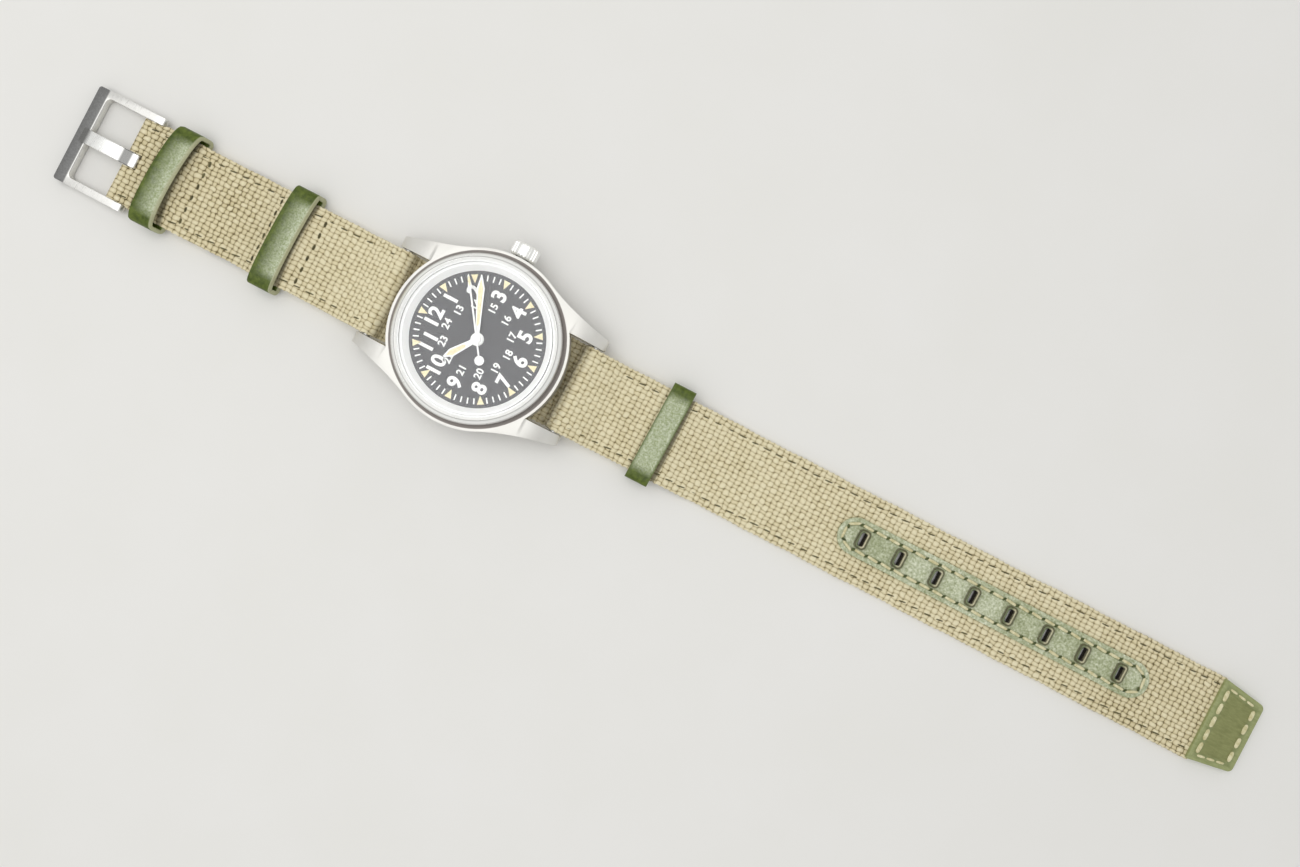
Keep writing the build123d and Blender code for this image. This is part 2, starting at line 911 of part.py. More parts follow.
def third_wheel():
    turn = bearing(third_place, centre)
    body = spoked_wheel(third_teeth, third_module, turn, third_wheel_bottom, third_place)
    leaf_turn = meshing_turn(third_leaves, third_place, centre)
    leaf_bottom = third_wheel_bottom + wheel_thickness
    leaf_top = center_wheel_bottom + wheel_thickness + pivot_gap
    body += leaved(third_leaves, center_module, leaf_turn, leaf_bottom, leaf_top, third_place)
    return body + disc(arbor_radius, bridge_bottom, plate_top, third_place)


def fourth_wheel():
    turn = bearing(centre, escape_place)
    body = spoked_wheel(fourth_teeth, fourth_module, turn, fourth_wheel_bottom, centre)
    leaf_turn = meshing_turn(fourth_leaves, centre, third_place)
    leaf_bottom = fourth_wheel_bottom + wheel_thickness
    leaf_top = third_wheel_bottom + wheel_thickness + pivot_gap
    body += leaved(fourth_leaves, third_module, leaf_turn, leaf_bottom, leaf_top)
    return body + disc(seconds_arbor, bridge_bottom, seconds_hand_bottom)


def escape_wheel():
    points = []
    for i in range(escape_teeth):
        root = escape_radius * escape_root_share
        for share, radius in zip(escape_tooth_shares, (escape_radius, escape_radius, root, root)):
            angle = -2 * pi * (i + share) / escape_teeth
            points.append((radius * cos(angle), radius * sin(angle)))
    top = escape_wheel_bottom + wheel_thickness
    body = Pos(escape_place[0], escape_place[1], 0) * plate(points, escape_wheel_bottom, top)
    leaf_turn = meshing_turn(escape_leaves, escape_place, centre)
    leaf_bottom = fourth_wheel_bottom - pivot_gap
    leaf_top = fourth_wheel_bottom + 2 * wheel_thickness
    body += leaved(escape_leaves, fourth_module, leaf_turn, leaf_bottom, leaf_top, escape_place)
    return body + disc(arbor_radius, bridge_bottom, plate_top, escape_place)


def pallet_fork():
    # Drawn along X from the pallet arbor, with the fork forward and the two stones back.
    top = pallet_bottom + pallet_thickness
    half = pallet_lever_width / 2
    body = block(0, fork_reach - fork_width / 2, -half, half, pallet_bottom, top)
    head = block(
        fork_reach - fork_width, fork_reach, -fork_width / 2, fork_width / 2, pallet_bottom, top
    )
    slot = block(
        fork_reach - fork_width / 2, fork_reach, -fork_slot / 2, fork_slot / 2, pallet_bottom, top
    )
    body += head - slot
    for side in (-1, 1):
        angle = 180 - side * pallet_arm_spread
        arm_end = polar(pallet_arm_length, angle)
        body += link(centre, pallet_arm_width / 2, arm_end, pallet_arm_width / 2, pallet_bottom, top)
        reach = (arm_end[0] - pallet_stone, arm_end[1])
        body += link(arm_end, pallet_stone / 2, reach, pallet_stone / 2, pallet_bottom, top)
    body += disc(arbor_radius, pallet_bridge_bottom, plate_top)
    turn = bearing(pallet_place, balance_place) * 180 / pi
    return Pos(pallet_place[0], pallet_place[1], 0) * Rot(0, 0, turn) * body


def balance_wheel():
    top = balance_bottom + balance_rim_height
    body = ring(balance_radius, balance_radius - balance_rim, balance_bottom, top)
    half = balance_arm / 2
    length = balance_radius - balance_rim / 2
    body += block(-length, length, -half, half, balance_bottom, balance_bottom + balance_rim_height / 2)
    body += disc(arbor_radius, bridge_bottom, plate_top)
    body += disc(balance_arm, balance_bottom, top)
    body += disc(roller_radius, roller_bottom, roller_bottom + roller_thickness)
    return Pos(balance_place[0], balance_place[1], 0) * Rot(0, 0, barrel_direction / 2) * body


def hairspring():
    top = hairspring_bottom + hairspring_height
    return spiral(
        hairspring_inner,
        hairspring_outer,
        hairspring_turns,
        hairspring_thickness,
        hairspring_bottom,
        top,
        balance_place,
    )


# Winding and setting work
def top_module():
    distance = hypot(barrel_place[0], crown_wheel_y - barrel_place[1])
    return module_for(distance, ratchet_teeth, crown_wheel_teeth)


def ratchet_wheel():
    turn = bearing(barrel_place, crown_wheel_place)
    top = bridge_bottom - pivot_gap
    body = toothed(ratchet_teeth, top_module(), turn, top_wheel_bottom, top, barrel_place)
    return body - disc(barrel_arbor_radius, top_wheel_bottom, bridge_bottom, barrel_place)


def crown_wheel():
    turn = meshing_turn(crown_wheel_teeth, crown_wheel_place, barrel_place)
    top = bridge_bottom - pivot_gap
    place = crown_wheel_place
    body = toothed(crown_wheel_teeth, top_module(), turn, top_wheel_bottom, top, place)
    upper = toothed(face_teeth, face_module, pi / 2, top, face_teeth_top, place)
    inner = face_module * (face_teeth / 2 - dedendum_share)
    return body + upper - disc(inner, face_teeth_top - face_teeth_depth, face_teeth_top, place)


def winding_pinion():
    turn = -pi / 2 + pi / winding_teeth
    points = tooth_points(winding_teeth, face_module, turn, leaf_root_share, leaf_tip_share)
    face = make_face(Polyline(*points, close=True))
    at = Plane(origin=(0, winding_pinion_start, stem_z), x_dir=(1, 0, 0), z_dir=(0, -1, 0))
    body = extrude(at * face, -winding_pinion_length)
    end = winding_pinion_start + winding_pinion_length
    return body - rod(winding_pinion_bore, winding_pinion_start, end)


def sliding_pinion():
    end = sliding_pinion_start + sliding_pinion_length
    body = rod(sliding_pinion_radius, sliding_pinion_start, end)
    middle = (sliding_pinion_start + end) / 2
    half = sliding_groove_width / 2
    groove = rod(sliding_pinion_radius, middle - half, middle + half)
    body -= groove - rod(sliding_groove_radius, middle - half, middle + half)
    return body - rod(sliding_bore, sliding_pinion_start, end)


def click():
    bottom = top_wheel_bottom
    top = bridge_bottom - pivot_gap
    pivot = polar(click_distance, click_direction)
    gap = bearing(barrel_place, crown_wheel_place) * 180 / pi + 360 / ratchet_teeth * click_gap_share
    tip = polar(top_module() * (ratchet_teeth / 2 + click_depth_share), gap)
    body = link(pivot, click_radius, tip, click_tip_width / 2, bottom, top)
    return Pos(barrel_place[0], barrel_place[1], 0) * body


def finger(y, groove_radius):
    low = stem_z + groove_radius + finger_dip
    half = finger_width / 2
    return block(-half, half, y - half, y + half, low, lever_bottom)


def setting_lever():
    y = stem_groove_start + stem_groove_width / 2
    top = lever_bottom + lever_thickness
    pivot = (lever_pivot_x, y)
    body = link(pivot, lever_pivot_radius, (0, y), lever_width / 2, lever_bottom, top)
    return body + finger(y, stem_groove_radius)


def yoke():
    y = sliding_pinion_start + sliding_pinion_length / 2
    top = lever_bottom + lever_thickness
    pivot = (yoke_pivot_x, yoke_pivot_y)
    body = link(pivot, lever_pivot_radius, (0, y), lever_width / 2, lever_bottom, top)
    return body + finger(y, sliding_groove_radius)


# Motion work
motion_module = module_for(minute_wheel_distance, cannon_leaves, minute_teeth)


def cannon_pinion():
    turn = meshing_turn(cannon_leaves, centre, minute_wheel_place)
    body = leaved(cannon_leaves, motion_module, turn, cannon_teeth_bottom, cannon_teeth_top)
    body += disc(cannon_radius, cannon_teeth_bottom, cannon_top)
    return body - disc(center_tube + pivot_gap, cannon_teeth_bottom, cannon_top)


def minute_wheel():
    turn = bearing(minute_wheel_place, centre)
    top = minute_wheel_bottom + wheel_thickness
    body = toothed(minute_teeth, motion_module, turn, minute_wheel_bottom, top, minute_wheel_place)
    leaf_turn = meshing_turn(minute_leaves, minute_wheel_place, centre)
    body += leaved(minute_leaves, motion_module, leaf_turn, top, minute_leaves_top, minute_wheel_place)
    return body - disc(minute_bore, minute_wheel_bottom, minute_leaves_top, minute_wheel_place)


def hour_wheel():
    turn = bearing(centre, minute_wheel_place)
    top = minute_leaves_top - pivot_gap
    body = toothed(hour_teeth, motion_module, turn, hour_wheel_bottom, top)
    body += disc(hour_tube_outer, hour_wheel_bottom, hour_tube_top)
    return body - disc(hour_tube_bore, hour_wheel_bottom, hour_tube_top)


# Strap
def band(points, radii, width):
    # A canvas layer along a path of straight runs and round bends in the XZ plane.
    path = FilletPolyline(*points, radius=radii)
    profile = Plane.XZ * trace(path, line_width=canvas)
    return extrude(profile, width / 2, both=True)


def flat_layer(start, end, level, width):
    return block(start, end, -width / 2, width / 2, level - canvas / 2, level + canvas / 2)


slope = radians(strap_slope)
valley = (bar_wrap - (raised_layer - strap_bar_z) * cos(slope)) / sin(slope)
bend_reach = half_pitch_bars + valley + bend_run


def strap_bend(side):
    # From under the case, up between the lugs, over the bar and down to the level of the under strap.
    inner_x = half_pitch_bars - bar_wrap
    drop = (bar_wrap - (inner_x - half_pitch_bars) * sin(slope)) / cos(slope)
    points = [
        (under_case_reach, raised_layer),
        (inner_x, raised_layer),
        (inner_x, strap_bar_z + drop),
        (half_pitch_bars + valley, raised_layer),
        (bend_reach, raised_layer),
    ]
    top = band(points, [turn_up_radius, bar_wrap, valley_radius], strap_width)
    bottom = flat_layer(under_case_reach, bend_reach, floor_layer, strap_width)
    if side < 0:
        return Compound(children=[mirror(top, Plane.YZ), mirror(bottom, Plane.YZ)])
    return Compound(children=[top, bottom])


def bump(middle):
    # The band's rise over the lower run of a keeper.
    half = keeper_length / 2 + canvas / 2
    return [middle - half - bump_run, middle - half, middle + half, middle + half + bump_run]


def fold_corner(x, z):
    # Where the band's tangent to the round of the fold meets the vertical at the fold's far side.
    distance = hypot(x - bar_x, z - buckle_bar_z)
    angle = atan2(z - buckle_bar_z, x - bar_x) + acos(buckle_wrap / distance)
    return buckle_bar_z + buckle_wrap * (1 + cos(angle)) / sin(angle)


def tongue_slot(start, end):
    half = tongue_width / 2 + tongue_slot_clearance
    return block(start, end, -half, half, 0, buckle_bar_z + 2 * buckle_wrap)


def strap_buckle_side():
    a = bump(keeper_middle_x)
    b = bump(keeper_by_buckle_x)
    fold_x = bar_x - buckle_wrap
    points = [
        (-bend_reach, raised_layer),
        (a[3], raised_layer),
        (a[2], bump_layer),
        (a[1], bump_layer),
        (a[0], raised_layer),
        (b[3], raised_layer),
        (b[2], bump_layer),
        (b[1], bump_layer),
        (fold_x, fold_corner(b[1], bump_layer)),
        (fold_x, floor_layer),
        (fold_end, floor_layer),
    ]
    tight = buckle_wrap * fold_round_share
    radii = [bump_radius] * 7 + [tight, tight]
    body = band(points, radii, strap_width)
    reach = bar_x - 2 * buckle_wrap
    side = block(reach, narrow_from, buckle_end_width / 2, strap_width, 0, buckle_bar_z + 2 * buckle_wrap)
    body -= side + mirror(side, Plane.XZ)
    bend = bar_x - tongue_bend
    stand = tongue_rest(bend) + tongue_thickness - buckle_bar_z
    return body - tongue_slot(reach, bar_x + stand + tongue_slot_clearance)


def slot_places():
    return [slot_first + i * slot_pitch for i in range(slot_count)]


def slot_cut(x, extra, bottom, top):
    # A long hole across the strap, with its corners cut off.
    half = slot_length / 2 + extra
    side = slot_width / 2 + extra
    corner = slot_corner + extra / 2
    quarter = [(side, half - corner), (side - corner, half)]
    outline = quarter + [(-a, b) for a, b in reversed(quarter)]
    outline += [(-a, -b) for a, b in outline]
    return Pos(x, 0, 0) * plate(outline, bottom, top)


def strap_tail():
    a = bump(keeper_under_strap_x)
    points = [
        (bend_reach, raised_layer),
        (a[0], raised_layer),
        (a[1], bump_layer),
        (a[2], bump_layer),
        (a[3] + 2 * bump_run, floor_layer),
        (tail_end, floor_layer),
    ]
    body = band(points, bump_radius, strap_width)
    for x in slot_places():
        body -= slot_cut(x, 0, 0, canvas)
    return body


def hole_patch():
    length = patch_end - patch_start
    top = canvas + patch_thickness
    face = SlotOverall(length, patch_width)
    body = Pos((patch_start + patch_end) / 2, 0, canvas) * extrude(face, patch_thickness)
    for x in slot_places():
        body += slot_cut(x, slot_rim, canvas, top + slot_rim_height)
        body -= slot_cut(x, 0, canvas, top + slot_rim_height)
    return body


def tip_cap():
    end = tail_end + cap_length
    root = (strap_width - cap_root_step) / 2
    nose = (strap_width - cap_end_step) / 2
    points = [
        (tail_end, root),
        (end, nose),
        (end, -nose),
        (tail_end, -root),
    ]
    body = plate(points, 0, cap_thickness)
    return fillet(body.edges().filter_by(Axis.Z).group_by(Axis.X)[-1], cap_corner)


def keeper(x, play, height, lean):
    # The loop's top leans towards the buckle, so its outline is drawn on a leaning plane.
    bottom = canvas + keeper_clearance
    rise = height - bottom
    stretch = hypot(lean, rise) / rise
    inner_half = (strap_width + play) / 2
    floor = leather * stretch
    inner_top = (rise - leather) * stretch
    band_top = floor + (canvas + 3 * keeper_clearance) * stretch
    shoulder = band_top + (inner_top - band_top) * keeper_side_share
    left = (-inner_half, shoulder)
    right = (inner_half, shoulder)
    sides = Polyline(left, (-inner_half, floor), (inner_half, floor), right)
    arch = ThreePointArc(right, (0, inner_top), left)
    hole = make_face([sides, arch])
    loop = offset(hole, leather * stretch) - hole
    leaning = Plane(origin=(x, 0, bottom), x_dir=(0, 1, 0), z_dir=(rise, 0, lean))
    return extrude(leaning * loop, keeper_length / 2, dir=(1, 0, 0), both=True)


# Buckle
def buckle_frame():
    left = bar_x - frame_reach
    past = bar_x + frame_past_bar
    right = past + frame_thickness
    inside = left + frame_end_bar
    outer = block(left, right, -frame_outer_width / 2, frame_outer_width / 2, 0, buckle_bar_z * 2)
    inner = block(inside, right, -frame_inner_width / 2, frame_inner_width / 2, 0, buckle_bar_z * 2)
    outer = fillet(outer.edges().filter_by(Axis.Z).group_by(Axis.X)[0], frame_outer_corner)
    inner = fillet(inner.edges().filter_by(Axis.Z).group_by(Axis.X)[0], frame_inner_corner)
    half = frame_thickness / 2
    low = frame_floor_gap
    rise = buckle_bar_z - half
    under = Line((left, low), (bar_x, rise))
    arm_under = Line((bar_x, rise), (past, rise))
    end = ThreePointArc((past, rise), (past + half, buckle_bar_z), (past, rise + frame_thickness))
    arm_top = Line((past, rise + frame_thickness), (bar_x, rise + frame_thickness))
    top = Line((bar_x, rise + frame_thickness), (left, low + frame_thickness))
    nose = Line((left, low + frame_thickness), (left, low))
    outline = make_face([under, arm_under, end, arm_top, top, nose])
    side = extrude(Plane.XZ * outline, frame_outer_width / 2, both=True)
    body = (outer - inner) & side
    crest = tongue_rest(inside) - tongue_rest_gap
    start = tongue_rest(inside - frame_bevel) - tongue_rest_gap
    low_corner = (inside + fit, crest - frame_bevel)
    bevel = Polyline((inside - frame_bevel, start), (inside + fit, crest), low_corner, close=True)
    long_side = frame_inner_width / 2 - frame_inner_corner
    body -= extrude(Plane.XZ * make_face(bevel), long_side, both=True)
    reach = frame_outer_width / 2
    return body - rod(buckle_bar_radius + fit / 2, -reach, reach, bar_x, buckle_bar_z)


def buckle_bar():
    reach = frame_outer_width / 2 - fit
    return rod(buckle_bar_radius, -reach, reach, bar_x, buckle_bar_z)


def tongue_rest(x):
    # The tongue's underside lies along the top of the sloping frame.
    low = frame_floor_gap + frame_thickness
    high = buckle_bar_z + frame_thickness / 2
    share = (x - bar_x + frame_reach) / frame_reach
    return low + (high - low) * share + tongue_rest_gap


def buckle_tongue():
    bore = buckle_bar_radius + tongue_hub_gap
    hub = bore + canvas / 2
    tip = bar_x - frame_reach + tongue_overhang
    bend = bar_x - tongue_bend
    hub_top = buckle_bar_z + hub
    half = tongue_width / 2
    points = [
        (bar_x, hub_top),
        (bend, tongue_rest(bend) + tongue_thickness),
        (tip, tongue_rest(tip) + tongue_thickness),
        (tip, tongue_rest(tip)),
        (bend, tongue_rest(bend)),
        (bar_x, hub_top - tongue_thickness),
        (bar_x, buckle_bar_z),
    ]
    body = extrude(Plane.XZ * make_face(Polyline(*points, close=True)), half, both=True)
    body += rod(hub, -half, half, bar_x, buckle_bar_z)
    return body - rod(bore, -half, half, bar_x, buckle_bar_z)


# Writing the parts
save(case_middle(), "case_middle")
save(bezel(), "bezel")
save(rehaut_ring(), "rehaut_ring")
save(crystal(), "crystal")
seat_radius = crystal_radius + crystal_gasket_wall
save(ring(seat_radius, crystal_radius, bezel_ledge, bezel_top - fit), "crystal_gasket")
save(case_back(), "case_back")
save(ring(gasket_outer - fit, back_neck_radius, back_floor, gasket_top - fit), "case_back_gasket")
tube_start = case_bore + fit
tube_end = case_radius + tube_stand_out
save(rod(tube_outer, tube_start, tube_end) - rod(tube_inner, tube_start, tube_end), "crown_tube")
ring_bore = movement_radius + movement_ring_gap
movement_ring = ring(case_bore - fit, ring_bore, movement_ring_bottom, dial_bottom)
save(movement_ring - rod(stem_radius + plate_hole_gap, 0, case_bore), "movement_ring")
save(ring(dial_radius, dial_hole, dial_bottom, dial_top), "dial")
save(strap_bars(), "strap_bars")

save(crown(), "crown")
save(winding_stem(), "winding_stem")
gasket_start = crown_start + crown_gasket_place
gasket = rod(crown_cavity_radius - pivot_gap, gasket_start, gasket_start + crown_gasket_length)
save(gasket - rod(tube_outer + pivot_gap, gasket_start, gasket_start + crown_gasket_length), "crown_gasket")
save(winding_pinion(), "winding_pinion")
save(sliding_pinion(), "sliding_pinion")
save(crown_wheel(), "crown_wheel")
save(ratchet_wheel(), "ratchet_wheel")
save(barrel_arbor(), "barrel_arbor")
save(click(), "click")
save(setting_lever(), "setting_lever")
save(yoke(), "yoke")

save(main_plate(), "main_plate")
save(barrel_bridge(), "barrel_bridge")
save(train_bridge(), "train_bridge")
save(pallet_bridge(), "pallet_bridge")
save(balance_cock(), "balance_cock")
save(bridge_screws(), "bridge_screws")
save(barrel_drum(), "barrel_drum")
save(barrel_cover(), "barrel_cover")
save(mainspring(), "mainspring")
save(center_wheel(), "center_wheel")
save(third_wheel(), "third_wheel")
save(fourth_wheel(), "fourth_wheel")
save(escape_wheel(), "escape_wheel")
save(pallet_fork(), "pallet_fork")
save(balance_wheel(), "balance_wheel")
save(hairspring(), "hairspring")

save(cannon_pinion(), "cannon_pinion")
save(minute_wheel(), "minute_wheel")
save(hour_wheel(), "hour_wheel")
save(hour_hand(), "hour_hand")
save(minute_hand(), "minute_hand")
save(seconds_hand(), "seconds_hand")

save(flat_layer(-under_case_reach, under_case_reach, raised_layer, strap_width), "strap_under_case")
save(flat_layer(-under_case_reach, under_case_reach, floor_layer, strap_width), "under_strap_center")
save(strap_bend(-1), "strap_bend_buckle_side")
save(strap_bend(1), "strap_bend_tail_side")
save(strap_buckle_side(), "strap_buckle_side")
save(flat_layer(under_strap_start, -bend_reach, floor_layer, strap_width), "under_strap_buckle_end")
save(strap_tail(), "strap_tail")
save(flat_layer(bend_reach, under_strap_end, floor_layer, strap_width), "under_strap_keeper_end")
loop_by_buckle = keeper(
    keeper_by_buckle_x, keeper_by_buckle_play, keeper_by_buckle_height, keeper_by_buckle_lean
)
save(loop_by_buckle, "keeper_by_buckle")
loop_middle = keeper(keeper_middle_x, keeper_middle_play, keeper_middle_height, keeper_middle_lean)
save(loop_middle, "keeper_middle")
loop_under_strap = keeper(
    keeper_under_strap_x, keeper_under_strap_play, keeper_under_strap_height, keeper_under_strap_lean
)
save(loop_under_strap, "keeper_under_strap")
save(hole_patch(), "hole_patch")
save(tip_cap(), "tip_cap")
save(buckle_frame(), "buckle_frame")
save(buckle_bar(), "buckle_bar")
save(buckle_tongue(), "buckle_tongue")
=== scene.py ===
import math
import random
import bpy
from mathutils import Matrix, Vector


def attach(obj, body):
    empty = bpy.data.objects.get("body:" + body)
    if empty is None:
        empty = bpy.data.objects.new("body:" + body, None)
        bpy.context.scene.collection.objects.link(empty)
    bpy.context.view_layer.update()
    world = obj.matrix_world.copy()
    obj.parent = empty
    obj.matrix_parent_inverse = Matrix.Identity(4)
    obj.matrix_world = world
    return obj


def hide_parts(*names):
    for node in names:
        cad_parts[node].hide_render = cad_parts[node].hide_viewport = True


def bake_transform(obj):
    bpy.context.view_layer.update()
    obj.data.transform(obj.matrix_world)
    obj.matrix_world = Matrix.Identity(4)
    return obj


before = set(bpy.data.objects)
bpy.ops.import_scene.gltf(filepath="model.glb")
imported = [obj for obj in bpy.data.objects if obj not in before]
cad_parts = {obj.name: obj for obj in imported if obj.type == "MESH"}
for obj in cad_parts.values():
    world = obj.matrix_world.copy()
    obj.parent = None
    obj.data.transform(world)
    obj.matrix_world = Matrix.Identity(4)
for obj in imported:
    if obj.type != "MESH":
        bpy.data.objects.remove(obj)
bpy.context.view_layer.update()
bpy.ops.object.select_all(action="DESELECT")
MM = 0.001

# Table, lamp and camera
# The watch lies dial up on a plain pale table, under one wide soft lamp hung a little to the buckle's side.
# The camera looks straight down from 226 mm, over the strap just past the 6 o'clock lugs.
VIEW_HEIGHT = 226 * MM
VIEW_PLACE = (40.5 * MM, -0.8 * MM)
VIEW_TURN = 27.46
VIEW_LENS = 29.17
TABLE_PALE = (226, 225, 221)
TABLE_LOW = (225, 224, 220)
TABLE_HIGH = (227, 226, 223)
ROOM_OVERHEAD = 0.45
ROOM_ROUND = 0.98
LAMP_PLACE = (-0.11, 0.0, 0.56)
LAMP_SIZE = (0.70, 0.60)
LAMP_POWER = 1.9


def shade(colour):
    # Colours are written out of 255, as a screen shows them. Blender works in linear ones.
    return tuple(((v / 255 + 0.055) / 1.055) ** 2.4 if v > 10 else v / 3294.6 for v in colour)


def opaque(colour):
    return (*shade(colour), 1)


def finish_for(name, colour, roughness, metal=0.0, sockets={}):
    made = bpy.data.materials.new(name)
    made.use_nodes = True
    shader = made.node_tree.nodes["Principled BSDF"]
    values = {"Base Color": opaque(colour), "Roughness": roughness, "Metallic": metal, **sockets}
    for socket, value in values.items():
        shader.inputs[socket].default_value = value
    return made


class Reading:
    # A value that varies over a material. Sums with it are written as plain sums, and become math nodes.
    def __init__(self, made, socket):
        self.made = made
        self.socket = socket

    def __add__(self, other):
        return worked("ADD", self, other)

    def __radd__(self, other):
        return worked("ADD", other, self)

    def __sub__(self, other):
        return worked("SUBTRACT", self, other)

    def __rsub__(self, other):
        return worked("SUBTRACT", other, self)

    def __mul__(self, other):
        return worked("MULTIPLY", self, other)

    def __truediv__(self, other):
        return worked("DIVIDE", self, other)

    def __abs__(self):
        return worked("ABSOLUTE", self)


def step(made, kind, inputs={}, out=0, **settings):
    node = made.node_tree.nodes.new("ShaderNode" + kind)
    for name, value in settings.items():
        setattr(node, name, value)
    for key, value in inputs.items():
        if isinstance(value, Reading):
            made.node_tree.links.new(value.socket, node.inputs[key])
        else:
            node.inputs[key].default_value = value
    return Reading(made, node.outputs[out])


def worked(kind, a, b=0.0):
    made = a.made if isinstance(a, Reading) else b.made
    return step(made, "Math", {0: a, 1: b}, operation=kind)


def into(made, value, socket):
    made.node_tree.links.new(value.socket, made.node_tree.nodes["Principled BSDF"].inputs[socket])


def on_object(made):
    return step(made, "TexCoord", out="Object")


def axes(made, where=None):
    where = where or on_object(made)
    node = made.node_tree.nodes.new("ShaderNodeSeparateXYZ")
    made.node_tree.links.new(where.socket, node.inputs[0])
    return [Reading(made, socket) for socket in node.outputs]


def mottle(made, scale, detail=3.0, roughness=0.55, where=None):
    where = where or on_object(made)
    return step(made, "TexNoise", {"Vector": where, "Scale": scale, "Detail": detail, "Roughness": roughness})


def tones(value, stops):
    ramp = value.made.node_tree.nodes.new("ShaderNodeValToRGB")
    marks = ramp.color_ramp.elements
    while len(marks) < len(stops):
        marks.new(0.5)
    for mark, (place, colour) in zip(marks, stops):
        mark.position = place
        mark.color = opaque(colour)
    value.made.node_tree.links.new(value.socket, ramp.inputs[0])
    return Reading(value.made, ramp.outputs[0])


def span(value, low, high, start=0.0, end=1.0):
    # Runs from low to high while the value goes from start to end, and stays level beyond them.
    inputs = {"Value": value, "From Min": start, "From Max": end, "To Min": low, "To Max": high}
    return step(value.made, "MapRange", inputs)


def speckled(made, scale, dark, pale):
    into(made, tones(mottle(made, scale), [(0.3, dark), (0.7, pale)]), "Base Color")


table_finish = finish_for("pale_table", TABLE_PALE, 0.8)
speckled(table_finish, 30, TABLE_LOW, TABLE_HIGH)
bpy.ops.mesh.primitive_plane_add(size=6, location=(0, 0, 0))
table = bpy.context.object
table.name = "table"
table.data.materials.append(table_finish)

room = bpy.data.worlds.new("room")
bpy.context.scene.world = room
room.use_nodes = True
backdrop = room.node_tree.nodes["Background"]
backdrop.inputs["Color"].default_value = (1, 1, 0.99, 1)
# The room is lightest round the sides and darker overhead.
way_up = axes(room, step(room, "TexCoord", out="Generated"))[2]
room.node_tree.links.new(span(way_up, ROOM_ROUND, ROOM_OVERHEAD).socket, backdrop.inputs["Strength"])

bpy.ops.object.light_add(type="AREA", location=LAMP_PLACE)
lamp = bpy.context.object
lamp.name = "wide_lamp"
lamp.data.shape = "RECTANGLE"
lamp.data.size, lamp.data.size_y = LAMP_SIZE
lamp.data.energy = LAMP_POWER
lamp.visible_camera = False

bpy.ops.object.camera_add(location=(*VIEW_PLACE, VIEW_HEIGHT), rotation=(0, 0, math.radians(VIEW_TURN)))
camera = bpy.context.object
camera.data.lens = VIEW_LENS
camera.data.sensor_width = 36
camera.data.clip_start = 0.01
bpy.context.scene.camera = camera
bpy.context.scene.view_settings.view_transform = "Standard"

# Case
# A steel case middle with four lugs, turned and milled from one forging.
# It is bead blasted to a pale even grey, and every edge is broken by hand.
BLAST_GRAIN = (5200, 4, 0.7)
BLAST_DEPTH = 0.012 * MM
CASE_EDGE = 0.18 * MM
GROOVE_IN = (17.5 * MM, 17.6 * MM)
GROOVE_OUT = (18.4 * MM, 18.5 * MM)
GROOVE_SHADE = (158, 151, 147)


def dress(made, *nodes):
    for node in nodes:
        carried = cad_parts[node]
        carried.data.materials.clear()
        carried.data.materials.append(made)


def only(piece):
    bpy.ops.object.select_all(action="DESELECT")
    piece.select_set(True)
    bpy.context.view_layer.objects.active = piece


def modified(piece, kind, **settings):
    only(piece)
    change = piece.modifiers.new(kind.lower(), kind)
    for name, value in settings.items():
        setattr(change, name, value)
    bpy.ops.object.modifier_apply(modifier=change.name)


def smooth(piece, angle=32):
    only(piece)
    bpy.ops.object.shade_smooth_by_angle(angle=math.radians(angle))


def bevelled(piece, width, segments, angle):
    sharp = math.radians(angle)
    modified(piece, "BEVEL", width=width, segments=segments, limit_method="ANGLE", angle_limit=sharp)


def reworked(piece, *works):
    # Each work is a mesh operator and its settings, run over the whole piece.
    only(piece)
    bpy.ops.object.mode_set(mode="EDIT")
    bpy.ops.mesh.select_all(action="SELECT")
    for work, settings in works:
        work(**settings)
    bpy.ops.object.mode_set(mode="OBJECT")


def finished(piece, made, body=None, nodes=()):
    piece.data.materials.clear()
    piece.data.materials.append(made)
    if nodes:
        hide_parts(*nodes)
    if body:
        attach(piece, body)
    return piece


def eased(node, name, edge, body, made, steps=2):
    # The CAD piece again, with its sharp edges broken as a file or a tumbler leaves them.
    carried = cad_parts[node]
    piece = carried.copy()
    piece.data = carried.data.copy()
    piece.name = name
    piece.parent = None
    piece.matrix_world = Matrix.Identity(4)
    bpy.context.collection.objects.link(piece)
    for key in list(piece.keys()):
        del piece[key]
    merged = (bpy.ops.mesh.remove_doubles, {"threshold": 0.002 * MM})
    flattened = (bpy.ops.mesh.dissolve_limited, {"angle_limit": math.radians(1.0)})
    reworked(piece, merged, flattened)
    bevelled(piece, edge, steps, 30)
    smooth(piece)
    return finished(piece, made, body, (node,))


def relief(height, depth, under=None):
    inputs = {"Height": height, "Distance": depth, "Strength": 1.0}
    if under is not None:
        inputs["Normal"] = under
    return step(height.made, "Bump", inputs)


def blended(share, first, second):
    # Each of the two is a reading or a plain colour. A Mix node's colours are its inputs 6 and 7, output 2.
    sides = [opaque(side) if isinstance(side, tuple) else side for side in (first, second)]
    return step(share.made, "Mix", {0: share, 6: sides[0], 7: sides[1]}, out=2, data_type="RGBA")


def distance(a, b):
    return worked("SQRT", a * a + b * b)


